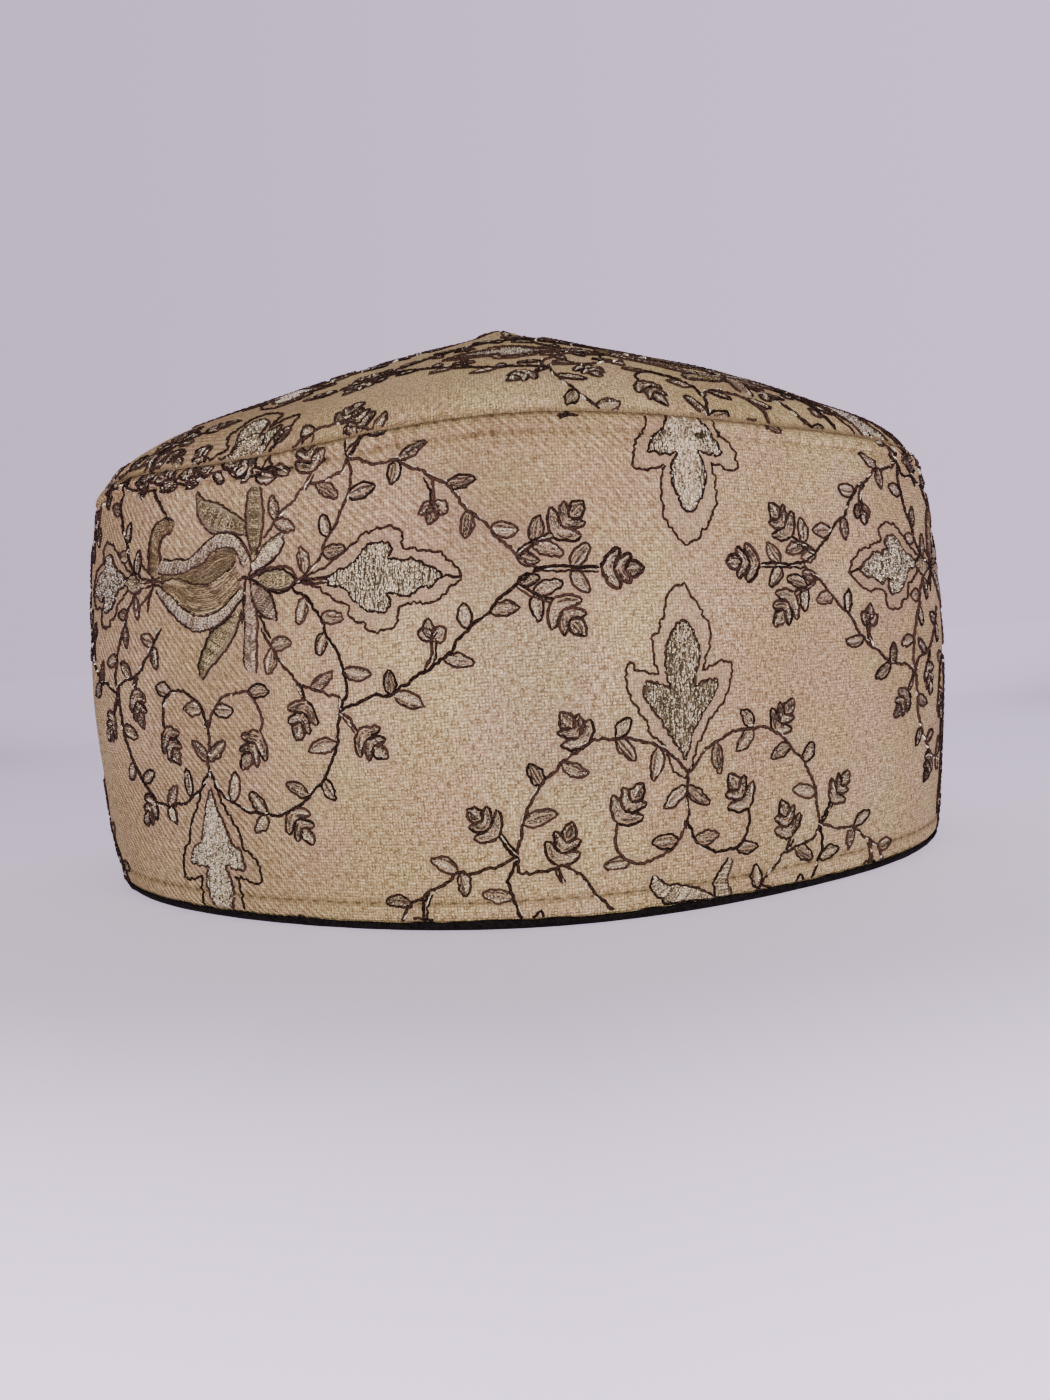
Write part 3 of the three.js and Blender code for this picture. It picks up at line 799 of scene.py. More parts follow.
class Motif:
    """Draws one whole motif on a panel, with its centre put down by a place function."""

    def __init__(self, sewing, place, low=False):
        self.sewing = sewing
        self.place = place
        self.low = low

    def mirrored(self, side, up):
        return lambda path: self.place(path * (side, up))

    def at(self, side, up):
        """Takes one quarter of the chart to its side of the motif, whose right arm hangs a little."""

        def place(path):
            turned = path * (side, up)
            start = np.where(turned[:, 1] > 0, SAG_FROM[1], SAG_FROM[0])
            sag = SAG * smooth_step(turned[:, 0], start, start + SAG_SPAN)
            return self.place(turned - np.stack([np.zeros(len(sag)), sag], axis=1))

        return place

    def lines(self, style, place, paths):
        for path in paths:
            self.sewing.line(style, place, smooth_path(path))

    def stem(self, place, path, double):
        """A dark line, with bits of bright thread beside it and a second dark line where it is double."""
        path = smooth_path(path)
        self.sewing.line(VINE, place, path)
        side = random.choice([-1, 1])
        even, run = resample(path, 0.45)
        beside = even + across(even) * BESIDE * side
        cuts = np.cumsum(random.uniform(0.9, 2.6, 40))
        for part in stretches(np.searchsorted(cuts, run) % 2 == random.integers(2)):
            if double or random.uniform() < SHOWN_SHARE:
                self.sewing.line(BESIDE_VINE, place, beside[part])
        if double:
            self.sewing.line(SECOND_VINE, place, even + across(even) * SECOND_BESIDE * side)

    def leaf(self, place, base, tip):
        """A pointed leaf with a dark edge and three strands along it."""
        half_width = LEAF_HALF_WIDTH * random.uniform(0.9, 1.12)
        left, right = lens(on_vine(base), tip, half_width, random.uniform(-0.3, 0.3))
        self.sewing.line(LEAF_EDGE, place, np.concatenate([left, right[::-1]]))
        for share in LEAF_STRAND_PLACES:
            strand = (left + right) / 2 + (left - right) / 2 * (share + random.uniform(-0.12, 0.12))
            self.sewing.line(LEAF_STRAND, place, smooth_path(strand[1:-1], 2))

    def bud(self, place, base, tip, edge=BUD_EDGE):
        """A bud of two cups and a pointed petal, both of its halves drawn from one."""
        base, tip = np.array(base, float), np.array(tip, float)
        up = (tip - base) / BUD_LENGTH
        right = np.array([up[1], -up[0]])
        for side in (-1, 1):
            for style, paths in ((edge, BUD_EDGES), (BUD_STRAND, BUD_STRANDS)):
                for path in map(smooth_path, paths):
                    self.sewing.line(style, place, base + path[:, :1] * right * side + path[:, 1:] * up)

    def arrow(self, place, outline, heart, lit):
        """Tinted cloth, a heart of short upright stitches over a dark ground of painted shade, and two ragged
        edges.
        """
        outline, heart = np.array(outline, float), np.array(heart, float)
        for lane, foot, top in inner_stretches(outline, 0, TINT_LANE):
            up = np.arange(foot, top, TINT_LANE)
            self.sewing.mark(place(np.stack([np.full(len(up), lane), up], axis=1)), TINT)
        ground = np.array(inner_stretches(heart, 0.4, GROUND_LANE))
        self.sewing.dashes(HEART_GROUND, place, ground[:, :2], ground[:, ::2])
        feet, tops = [], []
        for lane, foot, top in inner_stretches(heart, 0.3, LANE):
            lengths = random.uniform(SHORTEST, 1.2, int((top - foot) / SHORTEST) + 3)
            cuts = foot + np.cumsum(lengths) - random.uniform(0, 1)
            cuts = np.concatenate([[foot], cuts[(cuts > foot + 0.3) & (cuts < top - 0.3)], [top]])
            for found, ups in ((feet, cuts[:-1]), (tops, cuts[1:])):
                found.append(np.stack([lane + random.normal(0, STITCH_SPREAD, len(ups)), ups], axis=1))
        feet, tops = np.concatenate(feet), np.concatenate(tops)
        self.sewing.mark(place((feet + tops) / 2), HEART_STAIN)
        # The stitches of a heart that catches the light are painted lighter, as a painted highlight
        self.sewing.dashes(HEART_STITCH._replace(tone=lit), place, feet, tops)
        for style, edge in ((ARROW_EDGE, outline), (HEART_EDGE, heart)):
            self.sewing.line(style, place, smooth_path(np.concatenate([edge, edge[:1]]), 4))

    def lengthwise(self, petal):
        """Long strands side by side between two edges, over a darker ground of painted shade."""
        near, far = (resample(smooth_path(edge), count=STRAND_POINTS)[0] for edge in (petal.near, petal.far))
        lanes = max(int(np.hypot(*(near - far).T).max() / STRAND_LANE), 3)
        for share in (np.arange(0, lanes, 2) + 1) / lanes:
            if share < 1:
                self.sewing.line(PETAL_GROUND, self.place, near * (1 - share) + far * share)
        style = PETAL_STRAND._replace(kind=petal.kind, tone=petal.tone)
        for share in (np.arange(lanes) + 0.5) / lanes:
            path = near * (1 - share) + far * share
            start = random.integers(0, 5)
            while start < STRAND_POINTS - 6:
                end = min(start + random.integers(9, 24), STRAND_POINTS - 1)
                self.sewing.line(style, self.place, path[start:end])
                start = end

    def crosswise(self, petal):
        """Short straight stitches side by side from one edge to the other."""
        near, far = smooth_path(petal.near), smooth_path(petal.far)
        count = int(max(resample(edge)[1][-1] for edge in (near, far)) / SATIN_PITCH)
        a, b = (resample(edge, count=count)[0] for edge in (near, far))
        ragged = random.uniform(-RAGGED, RAGGED, (count, 2, 1))
        a, b = a + (a - b) * ragged[:, 0], b + (b - a) * ragged[:, 1]
        if petal.laid == "herringbone":
            middle = (a + b) / 2
            a, b = np.concatenate([a[:-3], b[:-3]]), np.concatenate([middle[3:], middle[3:]])
        wide = np.hypot(*(b - a).T) > NARROWEST_SATIN
        self.sewing.mark(self.place((a + b) / 2), SATIN_STAIN)
        self.sewing.dashes(SATIN._replace(kind=petal.kind, tone=petal.tone), self.place, a[wide], b[wide])

    def flower(self):
        for petal in LOW_PETALS if self.low else PETALS:
            if petal.laid == "along":
                self.lengthwise(petal)
            else:
                self.crosswise(petal)
            self.lines(PETAL_EDGE, self.place, (petal.near, petal.far))
        if not self.low:
            self.lines(FLOWER_LINE, self.place, FLOWER_LINES)

    def draw(self):
        for side in (-1, 1):
            self.arrow(self.mirrored(side, 1), DART, DART_HEART, LIT if side > 0 else 0)
            self.lines(DART_STEM, self.mirrored(side, 1), DART_STEMS)
            self.bud(self.at(side, 1), *END_BUD, END_BUD_EDGE)
            self.stem(self.at(side, 1), SIDE_STEM, True)
            for up in (-1, 1):
                place = self.at(side, up)
                by_curl = side < 0 < up
                for path in VINES:
                    if by_curl and path is FLOWER_VINE:
                        path = LOW_VINE if self.low else CURL_VINE
                    self.stem(place, path, False)
                for path in BUD_STEMS:
                    self.stem(place, path, True)
                for leaf in LEAVES:
                    if not (by_curl and leaf in CURL_LEAVES):
                        self.leaf(place, *leaf)
                for bud in BUDS:
                    self.bud(place, *bud)
        for up, outline, heart, lit in ((-1, HANGING_ARROW, HANGING_HEART, LIT), (1, ARROW, ARROW_HEART, 0)):
            self.arrow(self.mirrored(1, up), outline, heart, lit)
            self.stem(self.at(1, up), UP_STEM, False)
        self.flower()


# Where the motifs lie: centres in run and height on the band, and across and up on the crown's flat disc.
# The band's cloth is a little off square, and rises towards the left of the front.
DRIFT_RUN = [-BACK, -200, -150, -110, -85, -60, -48, -38, -28, -10, 3, 20, 36, 50, 66, 90, 120, 170, BACK]
DRIFT_RISE = [0, 1.5, 4.2, 5, 4.2, 3.2, 2.9, 1.4, 0.8, 1, 1, 0.5, 0.6, 0.3, 0.4, 0.3, 0.2, 0, 0]
DRIFT_HEIGHT = 50
BAND_LEAN = 0.06
BAND_LEAN_HEIGHT = 40
FOOT_LEAN = 1.8
BAND_MOTIFS = [(run, 56.4) for run in (-233.6, -59.8, 114, 287.8)]
BAND_MOTIFS += [(run, height) for height in (-8.6, 121.4) for run in (-320.5, -146.7, 27.1, 200.9, 374.7)]
CROWN_MOTIFS = [(36.5, -65), (-49, 0), (36.5, 65), (122, 0)]
CROWN_MOTIFS += [(-134.5, -65), (-134.5, 65), (-49, -130), (-49, 130)]
FRONT_REACH = 160
BACK_COARSE = 1.4


def band_place(centre):
    """Takes a motif's own millimetres to the band's run and height."""

    def place(path):
        run = path[:, 0] + centre[0]
        up = path[:, 1] + centre[1]
        low_left = smooth_step(-run, 35, 62) * smooth_step(36 - up, 0, 26)
        run = run + BAND_LEAN * (up - BAND_LEAN_HEIGHT) - FOOT_LEAN * low_left
        rise = curve(DRIFT_RUN, DRIFT_RISE, run)
        high = up + rise
        return np.stack([run, np.where(high >= DRIFT_HEIGHT, high, up / (1 - rise / DRIFT_HEIGHT))], axis=1)

    return place


def crown_place(centre):
    return lambda path: path + centre


def edge_place(path):
    """Takes a run along the crown's edge and a distance from it to the crown's flat places."""
    bearing = path[:, 0] * math.pi / BACK
    radius = CROWN_RADIUS - path[:, 1]
    return np.stack([radius * np.sin(bearing), -radius * np.cos(bearing)], axis=1)


def embroider():
    """Draws every motif, and gives the sewing of the band and of the crown."""
    band, crown = Sewing(BAND), Sewing(CROWN)
    for centre in BAND_MOTIFS:
        band.coarse = 1 if abs(centre[0]) < FRONT_REACH else BACK_COARSE
        Motif(band, band_place(centre), low=centre[1] < 0).draw()
    for centre in CROWN_MOTIFS:
        crown.coarse = 1 if centre[1] < 1 else BACK_COARSE
        Motif(crown, crown_place(centre)).draw()
    band.coarse = crown.coarse = 1
    strip = Motif(band, lambda path: path)
    strip.lines(BUD_EDGE, strip.place, STRIP_LINES)
    for leaf in STRIP_LEAVES:
        strip.leaf(strip.place, *leaf)
    edge = Motif(crown, edge_place)
    edge.lines(CROWN_EDGE_LINE, edge.place, EDGE_LINES)
    edge.crosswise(EDGE_SATIN)
    for motif, buds in ((strip, STRIP_BUDS), (edge, EDGE_BUDS)):
        for bud in buds:
            motif.bud(motif.place, *bud)
    edge.bud(crown_place((0, 0)), *CROWN_BUD)
    return band, crown


def topstitch(sewing):
    """The two rows of plain stitches round the band. A stitch lies between two pits."""
    run = np.linspace(-BACK + 1, BACK - 1, 4000)
    start, end = 0.16, 0.84
    for height, counted in ((TOP_ROW, stitch_count(run)), (LOW_ROW, run / LOW_PITCH)):
        stitches = np.arange(math.ceil(counted[0]), math.floor(counted[-1]))
        lift = random.normal(0, 0.07, len(stitches))
        starts = np.stack([np.interp(stitches + start, counted, run), height + lift], axis=1)
        ends = np.stack([np.interp(stitches + end, counted, run), height - lift], axis=1)
        sewing.dashes(TOPSTITCH, lambda path: path, starts, ends)


# Cloth and lining. The heights and shares are those of their rings.
BAND_COLUMNS = 720
CROWN_COLUMNS = 480
LINING_COLUMNS = 450
LOW_HEIGHTS = [BAND_FOOT, 1.7, 2.2, 3, 3.8, 4.3, 4.7, 5.1, 5.7]
HIDDEN_HEIGHTS = [76, 70, 60, 44, 28, 12, 3]
HIDDEN_SHARES = [0.06, 0.14, 0.28, 0.45, 0.62, 0.76, 0.86, 0.93]
# The lining's fold: height, distance out of the cloth's face, and how far its nap strays in depth and height
FOLD = [
    (0, -(CLOTH + GAP + LINING), 0, 0), (0, 0, 0.05, 0), (0.5, 0.4, 0.16, 0.05), (1.05, 0.45, 0.2, 0.12),
    (1.65, 0.25, 0.14, 0.25), (1.1, -0.1, 0, 0), (0.95, -0.8, 0, 0),
]


def band_cloth(sewing):
    face = [*LOW_HEIGHTS, *np.arange(6.6, 76.5, 1.1), *np.arange(76.8, 80.8, 0.33)]
    heights = np.array([*face, 80.4, *HIDDEN_HEIGHTS, BAND_FOOT])
    uv = np.stack(np.meshgrid(np.linspace(-BACK, BACK, BAND_COLUMNS + 1), heights), axis=-1)
    run, height = uv[:, :-1, 0], uv[:, :-1, 1]
    on_face = np.arange(len(heights))[:, None] < len(face)
    rings = band_point(run, height, np.where(on_face, band_relief(run, height), -CLOTH))
    # The seam's darkening is painted shade in the stitched rows and under the crown's edge
    stain, seam = sewing.stain_at(run, height) * on_face, band_seam(run, height) * on_face
    return ring_skin("band_cloth", rings, uv, stain=stain, seam=seam)


def crown_cloth(sewing):
    """Top panel from its hidden underside, round its edge, to the peak."""
    face = [*np.arange(0.998, 0.93, -0.006), *np.arange(0.925, 0.012, -0.0122)]
    shares = np.array([*HIDDEN_SHARES, 1, 1, *face])
    degrees, share = np.meshgrid(np.linspace(0, 360, CROWN_COLUMNS + 1), shares)
    flat = CROWN_RADIUS * share
    uv = np.stack([flat * np.sin(np.radians(degrees)), -flat * np.cos(np.radians(degrees))], axis=-1)
    degrees, share, x, y = degrees[:, :-1], share[:, :-1], uv[:, :-1, 0], uv[:, :-1, 1]
    edge = len(HIDDEN_SHARES)
    row = np.arange(len(shares))[:, None]
    rings = crown_at(degrees, share, np.where(row > edge, crown_relief(x, y), -CLOTH))
    for at, out in ((edge, -CLOTH * 1.3), (edge + 1, 0)):
        rings[at] = side_point(degrees[at], np.full(CROWN_COLUMNS, float(SEAM_HEIGHT)), out)
    poles = (crown_pole(-CLOTH), crown_pole(0.1))
    # The crown's cloth is painted darker next to its edge, as shade in the groove at the seam
    stain, seam = sewing.stain_at(x, y) * (row > edge), 0.7 * smooth_step(share, 0.989, 0.997)
    return ring_skin("crown_cloth", rings, uv, poles, stain=stain, seam=seam)


def lining_cloth():
    """The black inner cup, with a napped fold that shows under the cloth."""
    degrees = np.linspace(0, 360, LINING_COLUMNS + 1)
    turn = degrees[:-1]
    nap = random.normal(0, 1, (6, LINING_COLUMNS))
    nap = (nap + np.roll(nap, 1, axis=1) + np.roll(nap, -1, axis=1)) / 3
    inside, outside = -(CLOTH + GAP + LINING), -(CLOTH + GAP)

    def wall(out):
        roof = [crown_at(turn, share, out) for share in HIDDEN_SHARES]
        return roof + [side_point(turn, height, out) for height in HIDDEN_HEIGHTS]

    rings = wall(inside)
    for row, (height, out, rough, ragged) in enumerate(FOLD):
        lump = nap[row % len(nap)]
        rings.append(side_point(turn, height + ragged * lump, out + rough * lump))
    rings = np.array(rings + wall(outside)[::-1])
    uv = np.stack(np.meshgrid(degrees * GIRTH / 360, 5.0 * np.arange(len(rings))), axis=-1)
    return ring_skin("lining_cloth", rings, uv, (crown_pole(inside), crown_pole(outside)))


# Materials
class Signal:
    """An output of a node. Sums with it add Math nodes."""

    def __init__(self, wiring, socket):
        self.wiring = wiring
        self.socket = socket

    def math(self, operation, *others):
        return self.wiring.math(operation, self, *others)

    def __add__(self, other):
        return self.math("ADD", other)

    def __sub__(self, other):
        return self.math("SUBTRACT", other)

    def __rsub__(self, other):
        return self.wiring.math("SUBTRACT", other, self)

    def __mul__(self, other):
        return self.math("MULTIPLY", other)

    def between(self, low, high):
        """Goes smoothly from 0 at the first bound to 1 at the second."""
        inputs = {"Value": self, "From Min": low, "From Max": high}
        return self.wiring.node("MapRange", inputs, "Result", interpolation_type="SMOOTHSTEP")

    def ramp(self, *stops):
        made = self.wiring.node("ValToRGB", {0: self})
        elements = made.socket.node.color_ramp.elements
        for element, (place, color) in zip(elements, (stops[0], stops[-1])):
            element.position = place
            element.color = (*color, 1)
        for place, color in stops[1:-1]:
            elements.new(place).color = (*color, 1)
        return made


class Wiring:
    """Short hand for wiring a node tree. An input takes a number, a colour or a signal."""

    def __init__(self, tree):
        self.tree = tree

    def put(self, socket, value):
        if isinstance(value, Signal):
            self.tree.links.new(value.socket, socket)
        else:
            socket.default_value = (*value, 1) if isinstance(value, tuple) else value

    def node(self, kind, inputs, output=0, **settings):
        made = self.tree.nodes.new("ShaderNode" + kind)
        for key, value in settings.items():
            setattr(made, key, value)
        for key, value in inputs.items():
            self.put(made.inputs[key], value)
        return Signal(self, made.outputs[output])

    def math(self, operation, *values):
        return self.node("Math", dict(enumerate(values)), operation=operation)

    def mix(self, share, first, second, blend="MIX"):
        return self.node("Mix", {0: share, 6: first, 7: second}, 2, data_type="RGBA", blend_type=blend)

    def parts(self, place):
        """The first two coordinates of a place."""
        split = self.node("SeparateXYZ", {0: place})
        return split, Signal(self, split.socket.node.outputs[1])

    def place(self, kind="Object"):
        return self.node("TexCoord", {}, kind)

    def grain(self, place, scale, detail):
        return self.node("TexNoise", {"Vector": place, "Scale": scale, "Detail": detail}, "Fac")

    def noise(self, x, y, z, scale=1.0, detail=2.0):
        return self.grain(self.node("CombineXYZ", {0: x, 1: y, 2: z}), scale, detail)


class Finish(Wiring):
    """One material and its wiring."""

    def __init__(self, name, roughness, specular=0.5, metallic=0.0):
        self.material = bpy.data.materials.new(name)
        self.material.use_nodes = True
        super().__init__(self.material.node_tree)
        self.shader = self.tree.nodes["Principled BSDF"].inputs
        self.shader["Roughness"].default_value = roughness
        self.shader["Specular IOR Level"].default_value = specular
        self.shader["Metallic"].default_value = metallic

    def number(self, name):
        return self.node("Attribute", {}, "Fac", attribute_name=name)

    def color(self, value):
        self.put(self.shader["Base Color"], value)

    def bump(self, height, distance):
        made = self.node("Bump", {"Strength": 1.0, "Distance": distance, "Height": height})
        self.put(self.shader["Normal"], made)


WEAVE_PITCH = 0.52
TWILL_PITCH = 1.15
TWIST = 0.5
MATT = 0.1


def cream_cloth():
    """Cream-tan basket weave with a diagonal rib in places, pinkish and yellowish threads, soft grime, and
    painted shade in the weave's hollows, the rib's grooves and the stitched seams.
    """
    cloth = Finish("cream_cloth", 0.9, MATT)
    u, v = cloth.parts(cloth.node("UVMap", {}, uv_map="cloth"))
    down = u + v
    cell = (u * (math.pi / WEAVE_PITCH)).math("SINE") * (v * (math.pi / WEAVE_PITCH)).math("SINE")
    mound = cell.math("ABSOLUTE").math("POWER", 0.5)
    rib = (down * (TAU / (TWILL_PITCH * math.sqrt(2)))).math("SINE")
    ribbed = (u.between(-20, -60)).math("MAXIMUM", u.between(48, 8) * v.between(46, 66))
    ribbed = ribbed * cloth.noise(u, v, 11.0, 0.03, 1).between(0.1, 0.5)
    flat_slub = cloth.noise(u * 0.7, v * 3.0, 0.0, detail=4)
    tall_slub = cloth.noise(u * 3.0, v * 0.7, 7.0, detail=4)
    slub = cloth.mix(cell.math("GREATER_THAN", 0.0), flat_slub, tall_slub)
    slub = cloth.mix(ribbed * 0.7, slub, cloth.noise(down * 1.5, (v - u) * 0.45, 15.0, detail=3))

    tone = slub.ramp((0.38, (0.22, 0.15, 0.08)), (0.5, (0.6, 0.455, 0.27)), (0.62, (0.9, 0.74, 0.5)))
    hue = cloth.noise(u, v, 3.0, 0.07, 3).ramp((0.36, (1.0, 0.94, 0.96)), (0.64, (0.98, 1.02, 0.87)))
    grime = cloth.noise(u, v, 21.0, 0.035, 4).ramp((0.42, (0.86, 0.83, 0.8)), (0.6, (1.0, 1.0, 1.0)))
    for tint in (hue, grime):
        tone = cloth.mix(1.0, tone, tint, "MULTIPLY")
    from_streak = (u + (v * 0.235 - 11.0)).math("ABSOLUTE")
    streak = from_streak.between(17, 3) * v.between(12, 28) * (v.between(79, 73) * 0.9)
    tone = cloth.mix(streak, tone, (0.78, 0.8, 0.82), "MULTIPLY")
    # Painted shade in the hollows between the woven threads
    tone = cloth.mix((1.0 - mound) * 0.6, tone, (0.24, 0.155, 0.08))
    speck = cloth.noise(u, v, 31.0, 3.4, 1).ramp((0.36, (0.78, 0.75, 0.74)), (0.64, (1.2, 1.2, 1.22)))
    tone = cloth.mix(1.0, tone, speck, "MULTIPLY")
    # Painted shade in the grooves of the diagonal rib
    tone = cloth.mix((1.0 - rib) * 0.3 * ribbed, tone, (0.22, 0.13, 0.08))
    flecks = cloth.noise(u * 1.1, v * 2.8, 5.0).between(0.58, 0.72)
    tone = cloth.mix(flecks * 0.5, tone, (0.27, 0.17, 0.1))
    tone = cloth.mix(cloth.number("stain") * 0.7, tone, (0.36, 0.24, 0.17))
    # Painted shade in the pits and folds of the stitched rows and under the crown's edge
    seam = cloth.number("seam")
    seam_shade_color = seam.ramp((0.35, (0.2, 0.135, 0.06)), (1.0, (0.035, 0.022, 0.012)))
    cloth.color(cloth.mix(seam * 0.9, tone, seam_shade_color))
    cloth.bump(mound + rib * ribbed * 0.8 + slub * 1.4, 0.00018)
    return cloth.material


def black_lining():
    """Black with a short nap."""
    nap = Finish("black_lining", 0.95, 0.06)
    fuzz = nap.grain(nap.place(), 1400, 3)
    nap.color(fuzz.ramp((0.35, (0.003, 0.002, 0.0025)), (0.7, (0.012, 0.009, 0.01))))
    nap.bump(fuzz, 0.0004)
    return nap.material


# Finish of each kind of thread. Spread says how far its shade varies by thread, and the grain amount how far
# by grain, whose brightest specks are painted glints.
Dye = namedtuple("Dye", "kind slot name roughness metallic specular spread grainy stops")
BROWN = [(0.25, (0.009, 0.004, 0.004)), (0.9, (0.09, 0.046, 0.036))]
SILVER = [(0.05, (0.08, 0.05, 0.03)), (0.5, (0.43, 0.315, 0.2)), (0.95, (1.0, 0.89, 0.72))]
SPROUT = [(0.15, (0.04, 0.022, 0.016)), (0.55, (0.22, 0.15, 0.1)), (0.95, (0.9, 0.78, 0.6))]
SPECKLED = [(0.2, (0.09, 0.07, 0.035)), (0.5, (0.4, 0.32, 0.2)), (0.78, (1.0, 0.91, 0.72))]
BRONZE = [(0.05, (0.08, 0.048, 0.02)), (0.5, (0.28, 0.185, 0.095)), (0.95, (0.64, 0.48, 0.31))]
OLIVE = [(0.15, (0.07, 0.045, 0.02)), (0.5, (0.27, 0.19, 0.09)), (0.9, (0.75, 0.62, 0.42))]
ROSE = [(0.05, (0.07, 0.04, 0.028)), (0.5, (0.32, 0.215, 0.155)), (0.95, (0.8, 0.65, 0.52))]
SHADE = [(0.1, (0.05, 0.038, 0.02)), (0.9, (0.13, 0.1, 0.06))]
TAN = [(0.1, (0.18, 0.12, 0.06)), (0.9, (0.44, 0.32, 0.18))]
DYES = [
    Dye("outline", "outline_thread", "outline_thread", 0.8, 0, MATT, 0.56, 2.0, BROWN),
    Dye("metal", "metallic_thread", "metallic_thread", 0.34, 0.6, 0.5, 0.56, 2.4, SILVER),
    Dye("leaf", "metallic_thread", "shaded_thread", 0.34, 0.3, 0.5, 0.8, 2.4, SPROUT),
    Dye("glint", "metallic_thread", "glinting_thread", 0.34, 0.65, 0.5, 0.8, 3.0, SPECKLED),
    Dye("gold", "gold_thread", "bronze_thread", 0.4, 0.3, 0.5, 0.56, 2.0, BRONZE),
    Dye("olive", "gold_thread", "olive_thread", 0.35, 0.35, 0.5, 0.6, 2.8, OLIVE),
    Dye("pink", "gold_thread", "rose_thread", 0.38, 0.3, 0.5, 0.56, 1.6, ROSE),
    Dye("dark", "gold_thread", "shade_thread", 0.6, 0.1, MATT, 0.56, 1.6, SHADE),
    Dye("sewing", "sewing_thread", "sewing_thread", 0.8, 0, MATT, 0.56, 1.6, TAN),
]
END_SHADES = {"olive": (0.38, 0.31, 0.2)}


def twisted_thread(dye):
    """A shade for each strand, fine painted glints, painted shade in its dark grooves, and other ends where
    stitches dive in.
    """
    thread = Finish(dye.name, dye.roughness, dye.specular, dye.metallic)
    turn = thread.number("turn")
    # The grain's brightest specks are painted glints
    grain = (thread.grain(thread.place(), 3200, 1) - 0.5) * dye.grainy
    shade = (grain + (thread.number("tone") - 0.5) * dye.spread + 0.5).ramp(*dye.stops)
    if dye.kind in END_SHADES:
        shade = thread.mix(thread.number("end").between(0.35, 1.0), shade, END_SHADES[dye.kind])
    # Painted shade at each thread's feet, darkest in the grooves between threads
    from_ridge = (turn * 2.0 - 1.0).math("ABSOLUTE")
    thread.color(thread.mix(from_ridge.between(0.25, 1.0) * 0.72, shade, dye.stops[0][1]))
    thread.bump((thread.number("run") * (TAU / TWIST) + turn * TAU).math("SINE"), 0.0001)
    return thread.material


def dress(piece, material, node=None):
    piece.data.materials.append(material)
    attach(piece, "root")
    if node:
        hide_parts(node)


def build_cap():
    band, crown = embroider()
    topstitch(band)
    cloth = cream_cloth()
    dress(band_cloth(band), cloth, "band")
    dress(crown_cloth(crown), cloth, "crown")
    dress(lining_cloth(), black_lining(), "lining")
    threads = [twisted_thread(dye) for dye in DYES]
    for sewing in (band, crown):
        for dye, material in zip(DYES, threads):
            piece = sewing.make(dye.kind, f"{sewing.panel.name}_{dye.kind}")
            if piece:
                dress(piece, material)


# Camera, worked out from the photograph's perspective
PHOTO_HEIGHT = 1400
FOCAL_PIXELS = 1096.5
SENSOR = 36
CAMERA_PLACE = Vector((-2.37, -271.42, 47.08)) * MM
CAMERA_YAW = 0.0162
CAMERA_PITCH = -0.0565
CAMERA_ROLL = -0.0581


def set_camera():
    data = bpy.data.cameras.new("camera")
    data.sensor_width = SENSOR
    data.lens = SENSOR * FOCAL_PIXELS / PHOTO_HEIGHT
    data.clip_start = 0.01
    level = math.cos(CAMERA_PITCH)
    forward = Vector((math.sin(CAMERA_YAW) * level, math.cos(CAMERA_YAW) * level, math.sin(CAMERA_PITCH)))
    right = forward.cross(Vector((0, 0, 1))).normalized()
    up = right.cross(forward)
    across_view = right * math.cos(CAMERA_ROLL) + up * math.sin(CAMERA_ROLL)
    up_view = up * math.cos(CAMERA_ROLL) - right * math.sin(CAMERA_ROLL)
    turned = Matrix((across_view, up_view, -forward)).transposed().to_4x4()
    camera = bpy.data.objects.new("camera", data)
    camera.matrix_world = Matrix.Translation(CAMERA_PLACE) @ turned
    bpy.context.scene.collection.objects.link(camera)
    bpy.context.scene.camera = camera


def area_light(name, place, size, energy, color):
    data = bpy.data.lights.new(name, "AREA")
    data.size = size
    data.energy = energy
    data.color = color
    lamp = bpy.data.objects.new(name, data)
    lamp.location = place
    lamp.rotation_euler = (Vector((0, 0, 0.05)) - Vector(place)).to_track_quat("-Z", "Y").to_euler()
    bpy.context.scene.collection.objects.link(lamp)


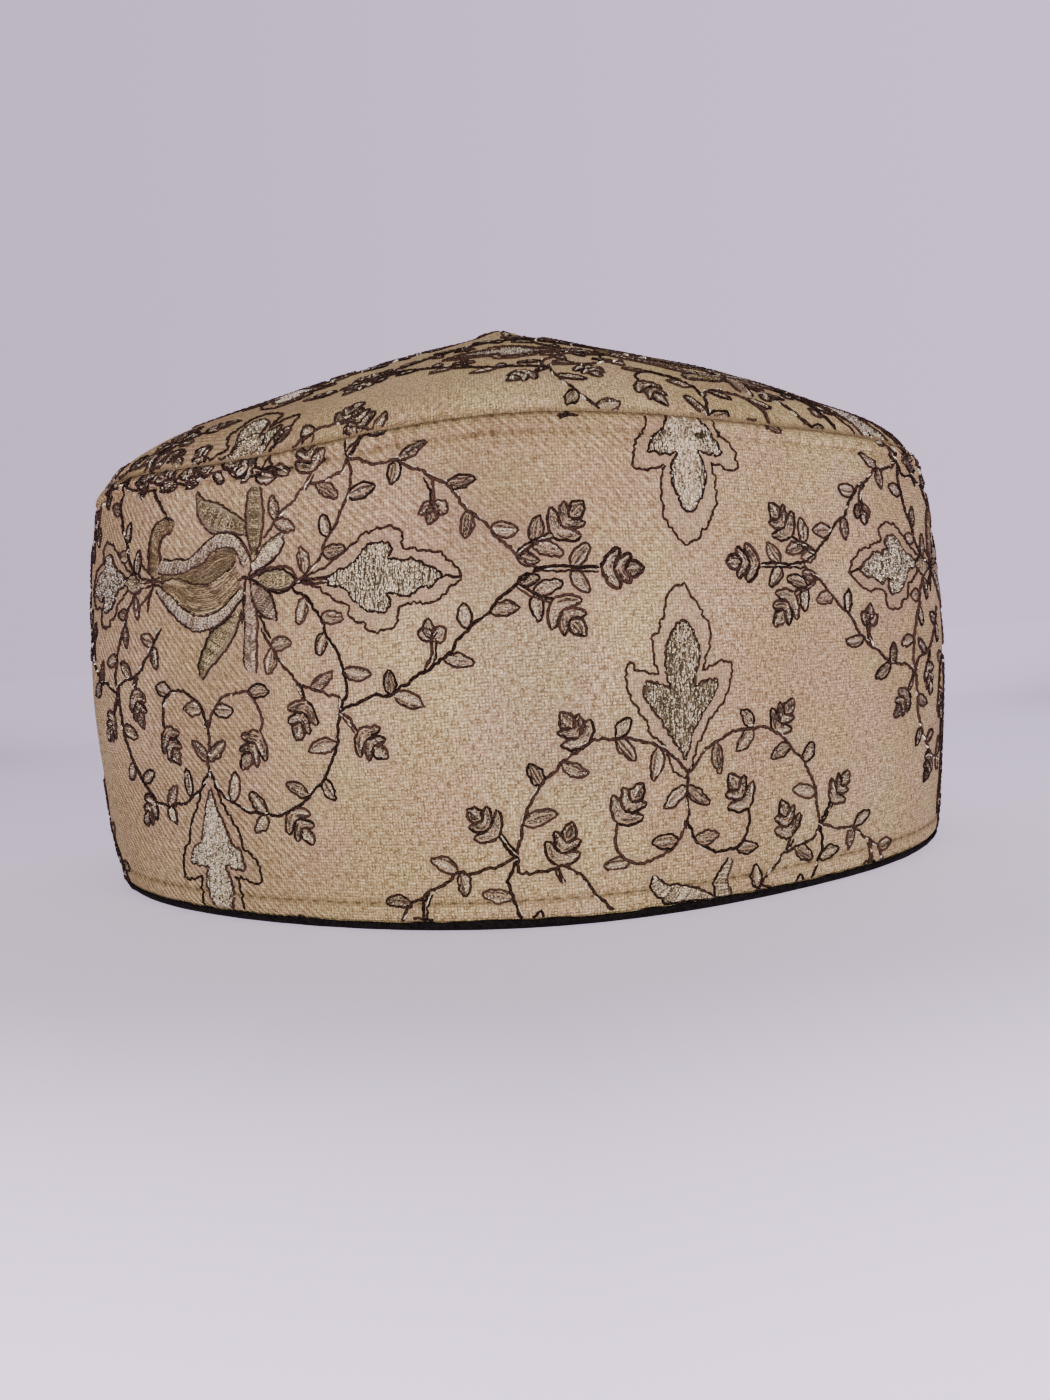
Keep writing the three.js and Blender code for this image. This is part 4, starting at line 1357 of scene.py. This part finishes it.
BACKDROP_LEFT = (0.8, 0.65, 0.9)
BACKDROP_RIGHT = (1.0, 0.79, 1.12)
BACKDROP_SIDES = (0.06, 0.052, 0.06)
BACKDROP_FULL = 0.88
FLOOR_RADIUS = 4
FLOOR_FADE = (0.28, 0.5)
FLOOR_COLOR = (0.66, 0.62, 0.76)
# Glow of painted light on the floor: to the left, to the right, and near the front
FLOOR_LEFT_GLOW = (0.41, 0.335, 0.475)
FLOOR_RIGHT_GLOW = (0.56, 0.46, 0.65)
FLOOR_NEAR_GLOW = (1.56, 1.18, 1.84)
BLACK = (0.0, 0.0, 0.0)


def distance(x, y):
    return (x * x + y * y).math("SQRT")


def backdrop_color(wiring, x, y, narrow):
    """Colour of the backdrop in a level direction: full behind the cap, darker elsewhere."""
    away = distance(x, y)
    side = x.math("DIVIDE", away).between(-0.5, 0.5)
    behind = y.math("DIVIDE", away).between(narrow, BACKDROP_FULL)
    return wiring.mix(behind, BACKDROP_SIDES, wiring.mix(side, BACKDROP_LEFT, BACKDROP_RIGHT))


def set_stage():
    """A pale floor that glows with painted light, brighter near the front and to the right and melting into
    the backdrop's colour a little behind the cap; and soft light.
    """
    bpy.ops.mesh.primitive_circle_add(vertices=96, radius=FLOOR_RADIUS, fill_type="NGON")
    floor = bpy.context.object
    floor.name = "floor"
    cover = Finish("glowing_floor", 0.8, MATT)
    x, y = cover.parts(cover.place())
    far = distance(x, y).between(*FLOOR_FADE)
    near = (y - x.math("ABSOLUTE") * 0.25).between(-0.125, -0.235)
    lit = cover.mix(x.between(-0.02, 0.16), FLOOR_LEFT_GLOW, FLOOR_RIGHT_GLOW)
    lit = cover.mix(far, lit, backdrop_color(cover, x, y, 0.45))
    cover.color(cover.mix(far, FLOOR_COLOR, BLACK))
    # The floor glows with painted light, brighter near the front and to the right, and the backdrop's colour
    # far off
    cover.put(cover.shader["Emission Color"], cover.mix(near, lit, FLOOR_NEAR_GLOW))
    cover.shader["Emission Strength"].default_value = 1
    floor.data.materials.append(cover.material)
    world = bpy.data.worlds.new("backdrop")
    world.use_nodes = True
    bpy.context.scene.world = world
    sky = Wiring(world.node_tree)
    x, y = sky.parts(sky.place("Generated"))
    sky.put(sky.tree.nodes["Background"].inputs[0], backdrop_color(sky, x, y, 0.65))
    area_light("window", (0.0, -1.3, 0.42), 0.55, 22, (1.0, 0.97, 0.84))
    area_light("ceiling", (0.0, -0.3, 1.3), 0.9, 1.5, (1.0, 0.97, 0.92))


set_camera()
set_stage()
build_cap()
